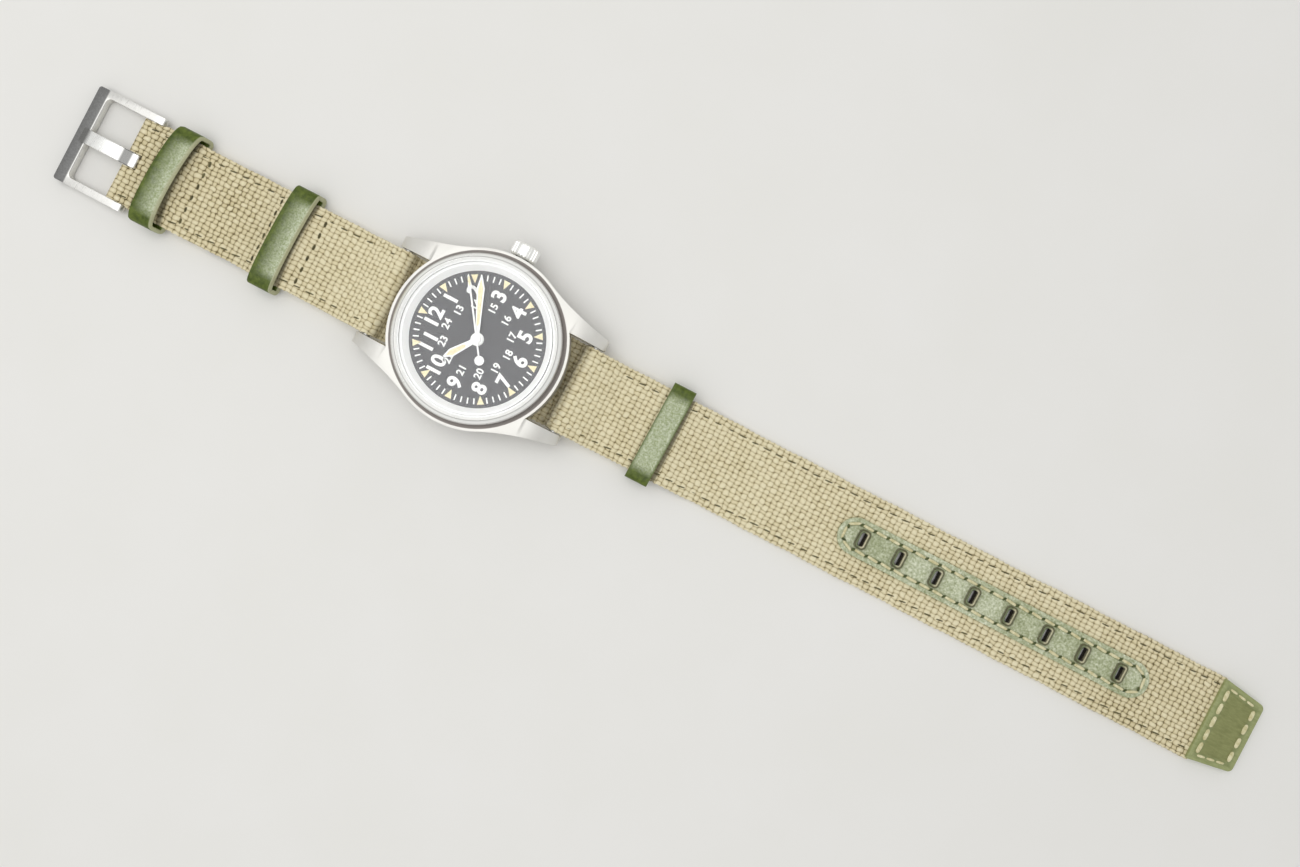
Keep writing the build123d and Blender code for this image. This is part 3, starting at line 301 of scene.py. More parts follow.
blasted_steel = finish_for("blasted_steel", (222, 220, 215), 0.5, 1.0)
patches = mottle(blasted_steel, 160)
from_middle = distance(*axes(blasted_steel)[:2])
# In the groove round the bezel the steel is painted a flat grey, not metal, as painted shade.
in_groove = span(from_middle, 0.0, 1.0, *GROOVE_IN) * span(from_middle, 1.0, 0.0, *GROOVE_OUT)
blasted = tones(patches, [(0.3, (216, 214, 209)), (0.7, (228, 227, 222))])
into(blasted_steel, blended(in_groove, blasted, GROOVE_SHADE), "Base Color")
into(blasted_steel, 1.0 - in_groove, "Metallic")
into(blasted_steel, span(patches, 0.46, 0.56, 0.3, 0.7), "Roughness")
into(blasted_steel, relief(mottle(blasted_steel, *BLAST_GRAIN), BLAST_DEPTH), "Normal")
eased("case_middle", "case_and_lugs", CASE_EDGE, "case", blasted_steel, steps=3)

# Bezel, seals, crystal and inner ring
# A stepped steel ring pressed on the case holds a thick flat crystal with a chamfered edge.
# The bezel is turned and polished, and the ring under the crystal is a bright satin cone.
STEP_SHADE_RADII = (15.9 * MM, 16.75 * MM, 17.55 * MM)
STEP_SHADE_HALF = 0.22 * MM
BEZEL_EDGE = 0.14 * MM


def uneven_gloss(made, scale, low, high):
    into(made, span(mottle(made, scale), low, high, 0.3, 0.7), "Roughness")


def grained(made, scale, depth):
    into(made, relief(mottle(made, scale), depth), "Normal")


def turned(made, scale, distortion, detail_scale=1.0):
    # Fine rings round the watch's axis, as a lathe leaves them.
    inputs = {"Vector": on_object(made), "Scale": scale, "Distortion": distortion, "Detail": 2.0}
    inputs["Detail Scale"] = detail_scale
    return step(made, "TexWave", inputs, wave_type="RINGS", rings_direction="Z")


polished_steel = finish_for("polished_steel", (248, 248, 245), 0.3, 1.0)
uneven_gloss(polished_steel, 320, 0.25, 0.36)
into(polished_steel, relief(turned(polished_steel, 900, 1.5, 3.0), 0.0006 * MM), "Normal")
from_middle = distance(*axes(polished_steel)[:2])
# Thin grey rings are painted at the bezel's steps, as painted shade.
step_shade = 0.0
for radius in STEP_SHADE_RADII:
    step_shade = step_shade + span(abs(from_middle - radius), 1.0, 0.0, 0.0, STEP_SHADE_HALF)
into(polished_steel, tones(step_shade, [(0.0, (247, 247, 244)), (1.0, (196, 195, 192))]), "Base Color")
eased("bezel", "bezel_ring", BEZEL_EDGE, "case", polished_steel, steps=3)

bright_ring = finish_for("bright_ring", (250, 250, 248), 0.42)
speckled(bright_ring, 700, (248, 248, 246), (253, 253, 252))
grained(bright_ring, 3000, 0.004 * MM)
dress(bright_ring, "rehaut_ring")

see_through = {"Transmission Weight": 1.0, "IOR": 1.5}
clear_crystal = finish_for("clear_crystal", (255, 255, 255), 0.0, 0.0, see_through)
speckled(clear_crystal, 240, (252, 253, 253), (255, 255, 255))
# Lamplight goes straight through the glass to the dial, which is lit as evenly as the case.
crystal_nodes = clear_crystal.node_tree.nodes
glass = Reading(clear_crystal, crystal_nodes["Principled BSDF"].outputs[0])
straight_through = step(clear_crystal, "BsdfTransparent")
for_lamplight = step(clear_crystal, "LightPath", out="Is Shadow Ray")
lit_glass = step(clear_crystal, "MixShader", {0: for_lamplight, 1: glass, 2: straight_through})
clear_crystal.node_tree.links.new(lit_glass.socket, crystal_nodes["Material Output"].inputs["Surface"])
dress(clear_crystal, "crystal")

white_seal = finish_for("white_seal", (240, 240, 236), 0.5)
speckled(white_seal, 900, (234, 234, 230), (244, 244, 241))
grained(white_seal, 2500, 0.01 * MM)
dress(white_seal, "crystal_gasket")

gasket_rubber = finish_for("gasket_rubber", (64, 64, 64), 0.62)
speckled(gasket_rubber, 900, (56, 56, 56), (72, 72, 71))
grained(gasket_rubber, 2500, 0.01 * MM)
dress(gasket_rubber, "case_back_gasket", "crown_gasket")

# Case back, crown and crown tube
# The back is a steel disc screwed in from below with a notched rim, turned and left with fine rings.
# The crown is cut with 24 flutes round a domed end, and turns on a pressed-in tube.
CROWN_EDGE = 0.07 * MM

turned_back = finish_for("turned_back", (214, 213, 208), 0.34, 1.0)
uneven_gloss(turned_back, 240, 0.28, 0.44)
blasting = relief(mottle(turned_back, *BLAST_GRAIN), 0.005 * MM)
into(turned_back, relief(turned(turned_back, 700, 0.6), 0.002 * MM, blasting), "Normal")
dress(turned_back, "case_back", "crown_tube")
eased("crown", "fluted_crown", CROWN_EDGE, "crown", polished_steel)

# Movement
# Plates and bridges are nickel-plated brass with a spotted finish, the wheels are gilt brass,
# and springs, screws and levers are hardened steel. Everything sits on the main plate.
plated_movement = finish_for("plated_movement", (190, 188, 182), 0.28, 1.0)
spotting = {"Vector": on_object(plated_movement), "Scale": 900.0, "Randomness": 0.35}
spots = step(plated_movement, "TexVoronoi", spotting)
into(plated_movement, span(spots, 0.2, 0.4, 0.0, 0.8), "Roughness")
into(plated_movement, relief(worked("SINE", spots * 60.0), 0.001 * MM), "Normal")
dress(plated_movement, "movement_ring", "main_plate")
dress(plated_movement, "barrel_bridge", "train_bridge", "pallet_bridge", "balance_cock")

gilt_brass = finish_for("gilt_brass", (214, 178, 104), 0.25, 1.0)
speckled(gilt_brass, 500, (206, 168, 92), (222, 188, 118))
uneven_gloss(gilt_brass, 900, 0.18, 0.34)
grained(gilt_brass, 4000, 0.002 * MM)
dress(gilt_brass, "barrel_drum", "barrel_cover", "center_wheel", "third_wheel", "fourth_wheel")
dress(gilt_brass, "escape_wheel", "balance_wheel", "minute_wheel", "hour_wheel")

spring_steel = finish_for("spring_steel", (150, 152, 158), 0.24, 1.0)
speckled(spring_steel, 700, (142, 144, 152), (160, 162, 168))
uneven_gloss(spring_steel, 1200, 0.18, 0.32)
grained(spring_steel, 5000, 0.001 * MM)
dress(spring_steel, "winding_stem", "winding_pinion", "sliding_pinion", "setting_lever", "yoke")
dress(spring_steel, "crown_wheel", "ratchet_wheel", "click", "barrel_arbor", "mainspring")
dress(spring_steel, "cannon_pinion", "pallet_fork", "hairspring", "bridge_screws")

# Dial
# A thin brass disc painted matte black, printed in white with an hour ring, a smaller 24-hour ring and a
# minute track. The triangles at the hours are printed in cream luminous paint.
# The 4, the 7 and the 8 stand a little further out than the other numerals.
DIAL_TOP = 8.1 * MM
PRINT_RISE = 0.02 * MM
PRINT_DEPTH = 0.015 * MM
HOUR_RING = 10.0 * MM
HOUR_HEIGHT = 2.95 * MM
HOUR_BOLD = 0.15 * MM
SET_OUT = {4: 0.15 * MM, 7: 0.3 * MM, 8: 0.15 * MM}
DAY_RING = 7.1 * MM
DAY_HEIGHT = 1.5 * MM
DAY_BOLD = 0.065 * MM
TRACK = (12.15 * MM, 13.4 * MM, 0.3 * MM, 0.3 * MM)
TRIANGLE = (11.65 * MM, 13.45 * MM, 0.08 * MM, 1.5 * MM)
FIGURE_SHARE = 0.69
FIGURE_SPACING = 1.04
FIGURE_CURVES = 5

dial_black = finish_for("dial_black", (52, 52, 56), 0.6)
into(dial_black, tones(mottle(dial_black, 2600), [(0.35, (46, 46, 50)), (0.65, (58, 58, 62))]), "Base Color")
grained(dial_black, 6000, 0.006 * MM)
dress(dial_black, "dial")

dial_white = finish_for("dial_white", (244, 244, 241), 0.5)
speckled(dial_white, 1500, (238, 238, 235), (250, 250, 247))
dial_lume = finish_for("dial_lume", (246, 238, 204), 0.6)
speckled(dial_lume, 1800, (228, 215, 170), (242, 231, 192))
grained(dial_lume, 7000, 0.02 * MM)


def joined(pieces, name):
    bpy.ops.object.select_all(action="DESELECT")
    for piece in pieces:
        piece.select_set(True)
    bpy.context.view_layer.objects.active = pieces[0]
    bpy.ops.object.join()
    pieces[0].name = name
    return pieces[0]


def settled(piece):
    only(piece)
    bpy.ops.object.transform_apply(location=True, rotation=True, scale=True)
    return piece


def dial_point(hour, radius):
    turn = math.radians(30 * hour)
    return -radius * math.cos(turn), radius * math.sin(turn)


def numeral(words, hour, radius, height, bold):
    bpy.ops.object.text_add()
    text = bpy.context.object
    text.data.body = words
    text.data.size = height / FIGURE_SHARE
    text.data.align_x = "CENTER"
    text.data.align_y = "CENTER"
    text.data.offset = bold
    text.data.space_character = FIGURE_SPACING
    text.data.extrude = PRINT_DEPTH
    text.data.resolution_u = FIGURE_CURVES
    bpy.ops.object.convert(target="MESH")
    text.location = (*dial_point(hour, radius), DIAL_TOP + PRINT_RISE)
    text.rotation_euler = (0, 0, math.radians(90))
    return settled(text)


def tick(minute, inner, outer, width_in, width_out):
    middle = -(inner + outer) / 2
    size = (outer - inner, width_in, 2 * PRINT_DEPTH)
    bpy.ops.mesh.primitive_cube_add(size=1, location=(middle, 0, DIAL_TOP + PRINT_RISE), scale=size)
    mark = settled(bpy.context.object)
    for corner in mark.data.vertices:
        if corner.co.x < middle:
            corner.co.y *= width_out / width_in
    mark.rotation_euler = (0, 0, math.radians(-6 * minute))
    return settled(mark)


printing = []
for hour in range(1, 13):
    printing.append(numeral(str(hour), hour, HOUR_RING + SET_OUT.get(hour, 0), HOUR_HEIGHT, HOUR_BOLD))
printing += [numeral(str(hour + 12), hour, DAY_RING, DAY_HEIGHT, DAY_BOLD) for hour in range(1, 13)]
printing += [tick(minute, *TRACK) for minute in range(60) if minute % 5]
finished(joined(printing, "dial_printing"), dial_white, "case")
triangles = joined([tick(minute, *TRIANGLE) for minute in range(0, 60, 5)], "hour_triangles")
finished(triangles, dial_lume, "case")

# Hands
# Stamped hands enamelled white, with luminous paint let into the hour and minute hands and into the spear of
# the seconds hand. The turns are the hands' own in the CAD, in degrees from 12 o'clock.
HAND_EDGE = 0.04 * MM
LUME_HIGH = 0.05 * MM
LUME_EDGE = 0.03 * MM
HOUR_TURN = 305.6
MINUTE_TURN = 67.0
SECONDS_TURN = 55.5
HOUR_LUME_AT = 8.68 * MM
MINUTE_LUME_AT = 9.13 * MM
SECONDS_LUME_AT = 9.58 * MM

hand_white = finish_for("hand_white", (248, 248, 245), 0.35)
speckled(hand_white, 900, (242, 242, 239), (251, 251, 248))
grained(hand_white, 3000, 0.003 * MM)
eased("hour_hand", "hour_hand_enamelled", HAND_EDGE, "hour", hand_white)
eased("minute_hand", "minute_hand_enamelled", HAND_EDGE, "minute", hand_white)
eased("seconds_hand", "seconds_hand_enamelled", HAND_EDGE, "seconds", hand_white)


def inlay(name, outline, height, turn, body):
    # Luminous paint filled into the hand's opening: a thin plate of the opening's shape with a rounded top.
    bpy.ops.mesh.primitive_circle_add(vertices=len(outline) * 2 - 2, radius=1, fill_type="NGON")
    fill = bpy.context.object
    fill.name = name
    half = outline + [(r, -w) for r, w in outline[-2:0:-1]]
    for corner, (reach, width) in zip(fill.data.vertices, half):
        corner.co = Vector((reach * MM, width * MM, 0))
    evened = (bpy.ops.mesh.normals_make_consistent, {"inside": False})
    raised = {"TRANSFORM_OT_translate": {"value": (0, 0, LUME_HIGH)}}
    reworked(fill, evened, (bpy.ops.mesh.extrude_region_move, raised))
    bevelled(fill, LUME_EDGE, 2, 40)
    fill.location = (0, 0, height)
    fill.rotation_euler = (0, 0, math.radians(180 - turn))
    settled(fill)
    smooth(fill)
    return finished(fill, dial_lume, body)


hour_opening = [(2.6, 0.0), (3.0, 0.34), (6.0, 0.56), (7.2, 0.0)]
minute_opening = [(2.6, 0.0), (3.2, 0.28), (10.3, 0.50), (12.4, 0.0)]
seconds_opening = [(10.8, 0.0), (11.2, 0.16), (12.2, 0.3), (13.2, 0.0)]
inlay("hour_lume", hour_opening, HOUR_LUME_AT, HOUR_TURN, "hour")
inlay("minute_lume", minute_opening, MINUTE_LUME_AT, MINUTE_TURN, "minute")
inlay("seconds_lume", seconds_opening, SECONDS_LUME_AT, SECONDS_TURN, "seconds")

# Strap bars
# Two solid steel bars turned with thin pins at their ends, which are pressed into the lugs for good.
# The strap passes over them and under the case.
bar_steel = finish_for("bar_steel", (196, 195, 191), 0.3, 1.0)
uneven_gloss(bar_steel, 600, 0.22, 0.42)
grained(bar_steel, 3000, 0.004 * MM)
dress(bar_steel, "strap_bars")

# Canvas strap
# A band of heavy two-ply cotton canvas with rounded selvedges goes over both bars and under the case.
# At the buckle it folds round the bar and is sewn back under itself. A second band is sewn under the case.
# Places along the strap, its routes and its half widths are in millimetres, as its cloth's own map is.
CANVAS = 1.15 * MM
CANVAS_HALF = 9.65
FOLD_HALF = 9.25
NARROW_FROM = -80
YARN_ALONG = 1.28
YARN_ACROSS = 1.0
CANVAS_RUN = 0.34
ARC_RUN = 0.2
CANVAS_ACROSS = 22
TONGUE_SLOT_END = -81.26
TONGUE_SLOT_HALF = 1.76
SEAM_LINE = 7.75
PUNCH = (0.36, 1.6)
PUNCH_COUNT = 8
PUNCH_FIRST = 91.0
PUNCH_PITCH = 8.8
CANVAS_GRAIN = 0.2 * MM
LOW = 0.575
HIGH = 1.825
OVER_KEEPER = 2.775
OVER_BAR = 6.738
TAIL_ROUTE = [
    (0, HIGH, 0), (20.675, HIGH, 1.2), (20.675, OVER_BAR, 1.525), (29.915, HIGH, 5), (36.275, HIGH, 2),
    (39.475, OVER_KEEPER, 2), (45.725, OVER_KEEPER, 2), (55.325, LOW, 2), (174.5, LOW, 0),
]
BUCKLE_ROUTE = [
    (0, HIGH, 0), (-20.675, HIGH, 1.2), (-20.675, OVER_BAR, 1.525), (-29.915, HIGH, 5), (-39.675, HIGH, 2),
    (-42.875, OVER_KEEPER, 2), (-49.125, OVER_KEEPER, 2), (-52.325, HIGH, 2), (-66.825, HIGH, 2),
    (-70.025, OVER_KEEPER, 2), (-76.275, OVER_KEEPER, 2), (-84.675, 3.438, 1.375), (-84.675, LOW, 1.375),
    (-62, LOW, 0),
]
UNDER_BUCKLE_ROUTE = [(0, LOW, 0), (-53.5, LOW, 0)]
UNDER_TAIL_ROUTE = [(0, LOW, 0), (46.5, LOW, 0)]


def route_points(corners, run, arc):
    # Points along a line of (x, z, radius) corners in millimetres, each with its length from the start.
    points = []
    for index, (x, z, radius) in enumerate(corners):
        here = Vector((x, z))
        if index in (0, len(corners) - 1) or radius == 0:
            points.append(here)
            continue
        back = (Vector(corners[index - 1][:2]) - here).normalized()
        ahead = (Vector(corners[index + 1][:2]) - here).normalized()
        half = back.angle(ahead) / 2
        reach = radius / math.tan(half)
        centre = here + (back + ahead).normalized() * radius / math.sin(half)
        first = here + back * reach - centre
        sweep = math.pi - 2 * half
        side = 1 if back.x * ahead.y - back.y * ahead.x < 0 else -1
        count = max(2, math.ceil(sweep / arc))
        for turn in range(count + 1):
            angle = side * sweep * turn / count
            cosine, sine = math.cos(angle), math.sin(angle)
            turned_first = Vector((first.x * cosine - first.y * sine, first.x * sine + first.y * cosine))
            points.append(centre + turned_first)
    dense = [points[0]]
    for point in points[1:]:
        gap = (point - dense[-1]).length
        if gap < 1e-4:
            continue
        start = dense[-1].copy()
        for share in range(1, math.ceil(gap / run) + 1):
            dense.append(start.lerp(point, share / math.ceil(gap / run)))
    lengths = [0.0]
    for before, after in zip(dense, dense[1:]):
        lengths.append(lengths[-1] + (after - before).length)
    return dense, lengths


def cut_out(strip, laid, slots):
    # Takes away the faces inside each slot, given by its first and last length and its half width.
    only(strip)
    bpy.ops.object.mode_set(mode="EDIT")
    bpy.ops.mesh.select_all(action="DESELECT")
    bpy.ops.object.mode_set(mode="OBJECT")
    for face in strip.data.polygons:
        length, over = [sum(laid[v][axis] for v in face.vertices) / len(face.vertices) for axis in (0, 1)]
        face.select = any(low < length < high and abs(over) < half for low, high, half in slots)
    bpy.ops.object.mode_set(mode="EDIT")
    bpy.ops.mesh.select_mode(type="FACE")
    bpy.ops.mesh.delete(type="FACE")
    bpy.ops.mesh.select_mode(type="VERT")
    bpy.ops.object.mode_set(mode="OBJECT")


def ribbon(name, corners, half_width, thickness, across, run, arc=ARC_RUN, plane="xz", slots=(),
           closed=False, edge=None, rounding=0.36):
    # A strip laid along its route: a flat grid whose columns are set on the route, then given its thickness.
    places, lengths = route_points(corners, run, arc)
    columns = len(places)
    bpy.ops.mesh.primitive_grid_add(x_subdivisions=columns - 1, y_subdivisions=across, size=2)
    strip = bpy.context.object
    strip.name = name
    mesh = strip.data
    laid = {}
    for corner in mesh.vertices:
        column = round((corner.co.x + 1) / 2 * (columns - 1))
        place = places[column]
        before = places[max(column - 1, 0)] if not closed or column else places[-2]
        after = places[min(column + 1, columns - 1)] if not closed or column < columns - 1 else places[1]
        way = (after - before).normalized()
        share = corner.co.y
        over = share * half_width(place)
        if edge:
            over += edge(lengths[column], share)
        laid[corner.index] = (lengths[column], over)
        corner.co = Vector((place.x, over, place.y) if plane == "xz" else (over, place.x, place.y)) * MM
    mesh.uv_layers[0].name = "cloth"
    for loop in mesh.loops:
        mesh.uv_layers[0].data[loop.index].uv = laid[loop.vertex_index]
    if slots:
        cut_out(strip, laid, slots)
    if closed:
        reworked(strip, (bpy.ops.mesh.remove_doubles, {"threshold": 0.01 * MM}))
    modified(strip, "SOLIDIFY", thickness=thickness, offset=0.0, use_even_offset=True)
    bevelled(strip, thickness * rounding, 3, 60)
    reworked(strip, (bpy.ops.mesh.normals_make_consistent, {"inside": False}))
    smooth(strip, 50)
    return strip


def lower(a, b):
    return worked("MINIMUM", a, b)


def higher(a, b):
    return worked("MAXIMUM", a, b)


def bell(value, steepness):
    # One where the value is nothing, falling softly to nothing on both sides.
    return worked("POWER", 2.718, value * value * -steepness)


def off_whole(value):
    return value - worked("ROUND", value)


YARN_TONES = [
    (0.02, (92, 80, 46)), (0.2, (150, 136, 96)), (0.4, (192, 179, 139)),
    (0.66, (212, 200, 163)), (1.0, (226, 217, 184)),
]
YARN_WAVE = 0.42
YARN_BACK = 0.72
YARN_DRIFT = 0.95
LOOSE_BY_TIP = (138 * MM, 160 * MM)
LOOSE_BY_BUCKLE = (-58 * MM, -46 * MM)
KEEPER_SHADOW = (54, 48, 18)
SHADOW_BESIDE_KEEPERS = ((-73.6, 0.016, 0.95), (-44.8, 0.009, 0.8), (45.5, 0.0, 0.65))
SOIL_AND_SHADE = (66, 56, 26)
SOIL_AND_SHADE_AT = 20.0
CANVAS_SLOT_SHADE = (34, 28, 16)
CANVAS_SLOT_SHADE_ALONG = (0.1, 0.14)
CANVAS_SLOT_SHADE_ACROSS = (1.75, 2.1)

canvas = finish_for("canvas", (196, 185, 150), 0.95, 0.0, {"Sheen Weight": 0.1, "Sheen Roughness": 0.5})
cloth = step(canvas, "UVMap", uv_map="cloth")
# The yarns wander a little to both sides, so that the weave is no perfect grid.
drift = step(canvas, "TexNoise", {"Vector": cloth, "Scale": 0.55, "Detail": 3.0}, out="Color")
drift = step(canvas, "VectorMath", {0: drift, 1: (0.5, 0.5, 0.5)}, operation="SUBTRACT")
drift = step(canvas, "VectorMath", {0: drift, "Scale": YARN_DRIFT}, operation="SCALE")
drifted = step(canvas, "VectorMath", {0: cloth, 1: drift}, operation="ADD")
per_yarn = (1 / YARN_ALONG, 1 / YARN_ACROSS, 0.0)
yarn = step(canvas, "VectorMath", {0: drifted, 1: per_yarn}, operation="MULTIPLY")
over_columns, over_rows = axes(canvas, yarn)[:2]


def yarn_run(over_yarns):
    # One set of yarns: its number, which way each crossing lies, how it waves over and under, its round back.
    number = worked("FLOOR", over_yarns)
    sign = worked("COSINE", number * math.pi)
    wave = worked("SINE", over_yarns * math.pi)
    across_yarn = (worked("FRACT", over_yarns) - 0.5) * 2.05
    back = worked("SQRT", higher(1.0 - across_yarn * across_yarn, 0.0))
    return number, sign, wave, back


column, column_sign, column_wave, column_back = yarn_run(over_columns)
row, row_sign, row_wave, row_back = yarn_run(over_rows)
x, y = axes(canvas)[:2]
along = x / MM
across = y / MM

# The warp and the weft cross by turns. Towards the tip and by the buckle the weft lies deeper.
broad = mottle(canvas, 0.05, 3.0, 0.5, cloth)
loose = span(x, 0.0, 1.0, *LOOSE_BY_TIP) + span(x, 1.0, 0.0, *LOOSE_BY_BUCKLE)
favour = span(broad, 0.08, 0.26, 0.35, 0.65) - loose * 0.38
warp = column_wave * row_sign * YARN_WAVE + row_back * YARN_BACK
weft = row_wave * column_sign * -YARN_WAVE + column_back * YARN_BACK + favour
gap = bell(warp - weft, 34.0)
at_corners = worked("COSINE", over_columns * math.pi) * worked("COSINE", over_rows * math.pi)
corner_dip = worked("POWER", higher(at_corners, 0.0), 3.0)
cell = step(canvas, "CombineXYZ", {0: column, 1: row})
cell_tone = step(canvas, "TexWhiteNoise", {"Vector": cell}, noise_dimensions="3D")
height = higher(warp, weft) - corner_dip * 0.16 + (cell_tone - 0.5) * 0.1

# Every crossing and every row has its own tone, under fine fibres and broad clouds.
one_row = step(canvas, "CombineXYZ", {1: row})
row_tone = step(canvas, "TexWhiteNoise", {"Vector": one_row}, noise_dimensions="3D")
fibre = mottle(canvas, 5.5, 3.0, 0.7, cloth)
cloudy = mottle(canvas, 0.12, 4.0, 0.6, cloth)
tone = cell_tone * 0.16 + row_tone * 0.06 + fibre * 0.22 + cloudy * 0.5
# The tone follows the weave's height, so its valleys are painted darker, and the gaps where the yarns cross
# are painted as shade.
tone = tone - 0.46 + height - gap * 0.42
yarn_colour = tones(tone * 0.8, YARN_TONES)

# Round the punched slots the canvas is painted dark, as painted shade in the slots. Painted shadow lies
# beside the keepers, and painted shade and soil lie by the bezel.
# The canvas round each punched slot is painted dark, as painted shade inside the slot.
turns = higher(lower((along - PUNCH_FIRST) / PUNCH_PITCH, PUNCH_COUNT - 0.6), -0.4)
canvas_slot_shade = span(abs(off_whole(turns)), 1.0, 0.0, *CANVAS_SLOT_SHADE_ALONG) * span(abs(across), 1.0, 0.0, *CANVAS_SLOT_SHADE_ACROSS)
keeper_shadow = 0.0
# A strip of painted shadow beside each keeper's edge, bowed across the strap.
for place, bow, reach in SHADOW_BESIDE_KEEPERS:
    off_edge = along - place - across * across * bow
    keeper_shadow = higher(keeper_shadow, span(abs(off_edge), 0.72, 0.0, 0.3, reach))
soil_and_shade_patches = span(mottle(canvas, 1300, 4, 0.75), 0.25, 1.0, 0.35, 0.62)
# Painted shade and soil in patches on the canvas beside the case, on its +x side.
soil_and_shade = span(abs(along - SOIL_AND_SHADE_AT), 0.62, 0.0, 0.7, 2.6) * soil_and_shade_patches
yarn_colour = blended(keeper_shadow, yarn_colour, KEEPER_SHADOW)
yarn_colour = blended(soil_and_shade, yarn_colour, SOIL_AND_SHADE)
into(canvas, blended(canvas_slot_shade, yarn_colour, CANVAS_SLOT_SHADE), "Base Color")
seam = bell(abs(axes(canvas, cloth)[1]) - SEAM_LINE, 8.0)
height = height - gap * 0.18 + fibre * 0.25 - seam * 0.4
into(canvas, relief(height, CANVAS_GRAIN), "Normal")


def band_half(place):
    return FOLD_HALF if place.x < NARROW_FROM else CANVAS_HALF


def selvedge(length, share):
    # The weft yarns turn back at the selvedge in small even loops, and the cloth is never quite straight.
    loops = 0.11 * math.cos(2 * math.pi * length / YARN_ALONG)
    sway = 0.06 * math.sin(length * 0.31 + 2 * share) + 0.04 * math.sin(length * 0.83 + share)
    return share * abs(share) ** 7 * (loops + sway)


buckle_places, buckle_lengths = route_points(BUCKLE_ROUTE, CANVAS_RUN, ARC_RUN)
open_lengths = [length for place, length in zip(buckle_places, buckle_lengths) if place.x < TONGUE_SLOT_END]
tongue_slot = (open_lengths[0], open_lengths[-1], TONGUE_SLOT_HALF)
tail_places, tail_lengths = route_points(TAIL_ROUTE, CANVAS_RUN, ARC_RUN)
extra_length = tail_lengths[-1] - tail_places[-1].x
punched = []
for number in range(PUNCH_COUNT):
    place = PUNCH_FIRST + PUNCH_PITCH * number + extra_length
    punched.append((place - PUNCH[0], place + PUNCH[0], PUNCH[1]))


def canvas_band(name, route, slots=()):
    return ribbon(name, route, band_half, CANVAS, CANVAS_ACROSS, CANVAS_RUN, edge=selvedge, slots=slots)


tail_band = canvas_band("canvas_tail_band", TAIL_ROUTE, punched)
buckle_band = canvas_band("canvas_buckle_band", BUCKLE_ROUTE, [tongue_slot])
under_buckle = canvas_band("canvas_under_band_buckle_side", UNDER_BUCKLE_ROUTE)
under_tail = canvas_band("canvas_under_band_tail_side", UNDER_TAIL_ROUTE)


def crosses(piece, body):
    # Only bakes the piece's place into its mesh. The strap's bends over the bars lie in its routes.
    side = 1 if body == "tail_strap" else -1
    side * 20.8 * MM
    side * 33 * MM
    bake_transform(piece)


for piece, body, nodes in [
    (tail_band, "tail_strap", ("strap_tail", "strap_bend_tail_side", "strap_under_case")),
    (buckle_band, "buckle_side_strap", ("strap_buckle_side", "strap_bend_buckle_side", "strap_under_case")),
    (under_buckle, "buckle_side_strap", ("under_strap_center", "under_strap_buckle_end")),
    (under_tail, "tail_strap", ("under_strap_center", "under_strap_keeper_end")),
]:
    finished(piece, canvas, nodes=nodes)
    crosses(piece, body)

# Strap stitching
# Waxed olive thread runs along both edges of the strap, and three rows go across where its layers are sewn
# together. Each stitch pulls a little into the cloth.
TAIL_SEWN = (25.0, 172.8)
BUCKLE_SEWN = (-81.5, -24.5)
EDGE_PITCH = 3.0
EDGE_STITCH = (1.9, 0.36)
ROW_PITCH = 2.7
ROW_COUNT = 6
ROW_STITCH = (1.25, 0.62)
ROWS = (-68.6, -51.4, -41.0)
THREAD_SUNK = 0.04
CLEAR_OF_CASE = 22.4

dark_thread = finish_for("dark_thread", (92, 88, 54), 0.7)
speckled(dark_thread, 900, (62, 57, 30), (98, 92, 56))
grained(dark_thread, 9000, 0.03 * MM)
bpy.ops.mesh.primitive_uv_sphere_add(segments=8, ring_count=6, radius=0.5)
one_stitch = bpy.context.object
one_stitch.name = "one_stitch"
for corner in one_stitch.data.vertices:
    x, y, z = corner.co
    corner.co = Vector((math.copysign(abs(2 * z) ** 0.5 / 2, z), x, y))


def stitched(name, stitches, made, body=None):
    # Each stitch: its place in millimetres, its turn about the vertical, its slope, its length and its width.
    copies = []
    for (x, y, z), turn, slope, length, width in stitches:
        copy = one_stitch.copy()
        copy.data = one_stitch.data.copy()
        bpy.context.collection.objects.link(copy)
        size = Matrix.Diagonal((length * MM, width * MM, 0.6 * width * MM, 1))
        place = Matrix.Translation((x * MM, y * MM, z * MM))
        copy.data.transform(place @ Matrix.Rotation(turn, 4, "Z") @ Matrix.Rotation(-slope, 4, "Y") @ size)
        copies.append(copy)
    thread = joined(copies, name)
    smooth(thread, 60)
    return finished(thread, made, body)


def top_of(route, x):
    # The height and slope of the cloth's upper face at x.
    places = route_points(route, CANVAS_RUN, ARC_RUN)[0]
    side = 1 if x > 0 else -1
    fold = max(range(len(places)), key=lambda i: places[i].x * side)
    outer = [place for place in places[:fold + 1] if place.x * side > CLEAR_OF_CASE]
    index = min(range(1, len(outer) - 1), key=lambda i: abs(outer[i].x - x))
    rise = outer[index + 1] - outer[index - 1]
    return outer[index].y + CANVAS / MM / 2, math.atan2(rise.y * (1 if rise.x > 0 else -1), abs(rise.x))


def edge_stitches(route, first, last):
    chance = random.Random(11)
    made = []
    for side in (-1, 1):
        x = first
        while x < last:
            z, slope = top_of(route, x)
            place = (x, side * (SEAM_LINE + chance.uniform(-0.08, 0.08)), z - THREAD_SUNK)
            turn = chance.uniform(0.02, 0.16)
            made.append((place, turn, slope, EDGE_STITCH[0] * chance.uniform(0.8, 1.1), EDGE_STITCH[1]))
            x += EDGE_PITCH * chance.uniform(0.93, 1.07)
    return made


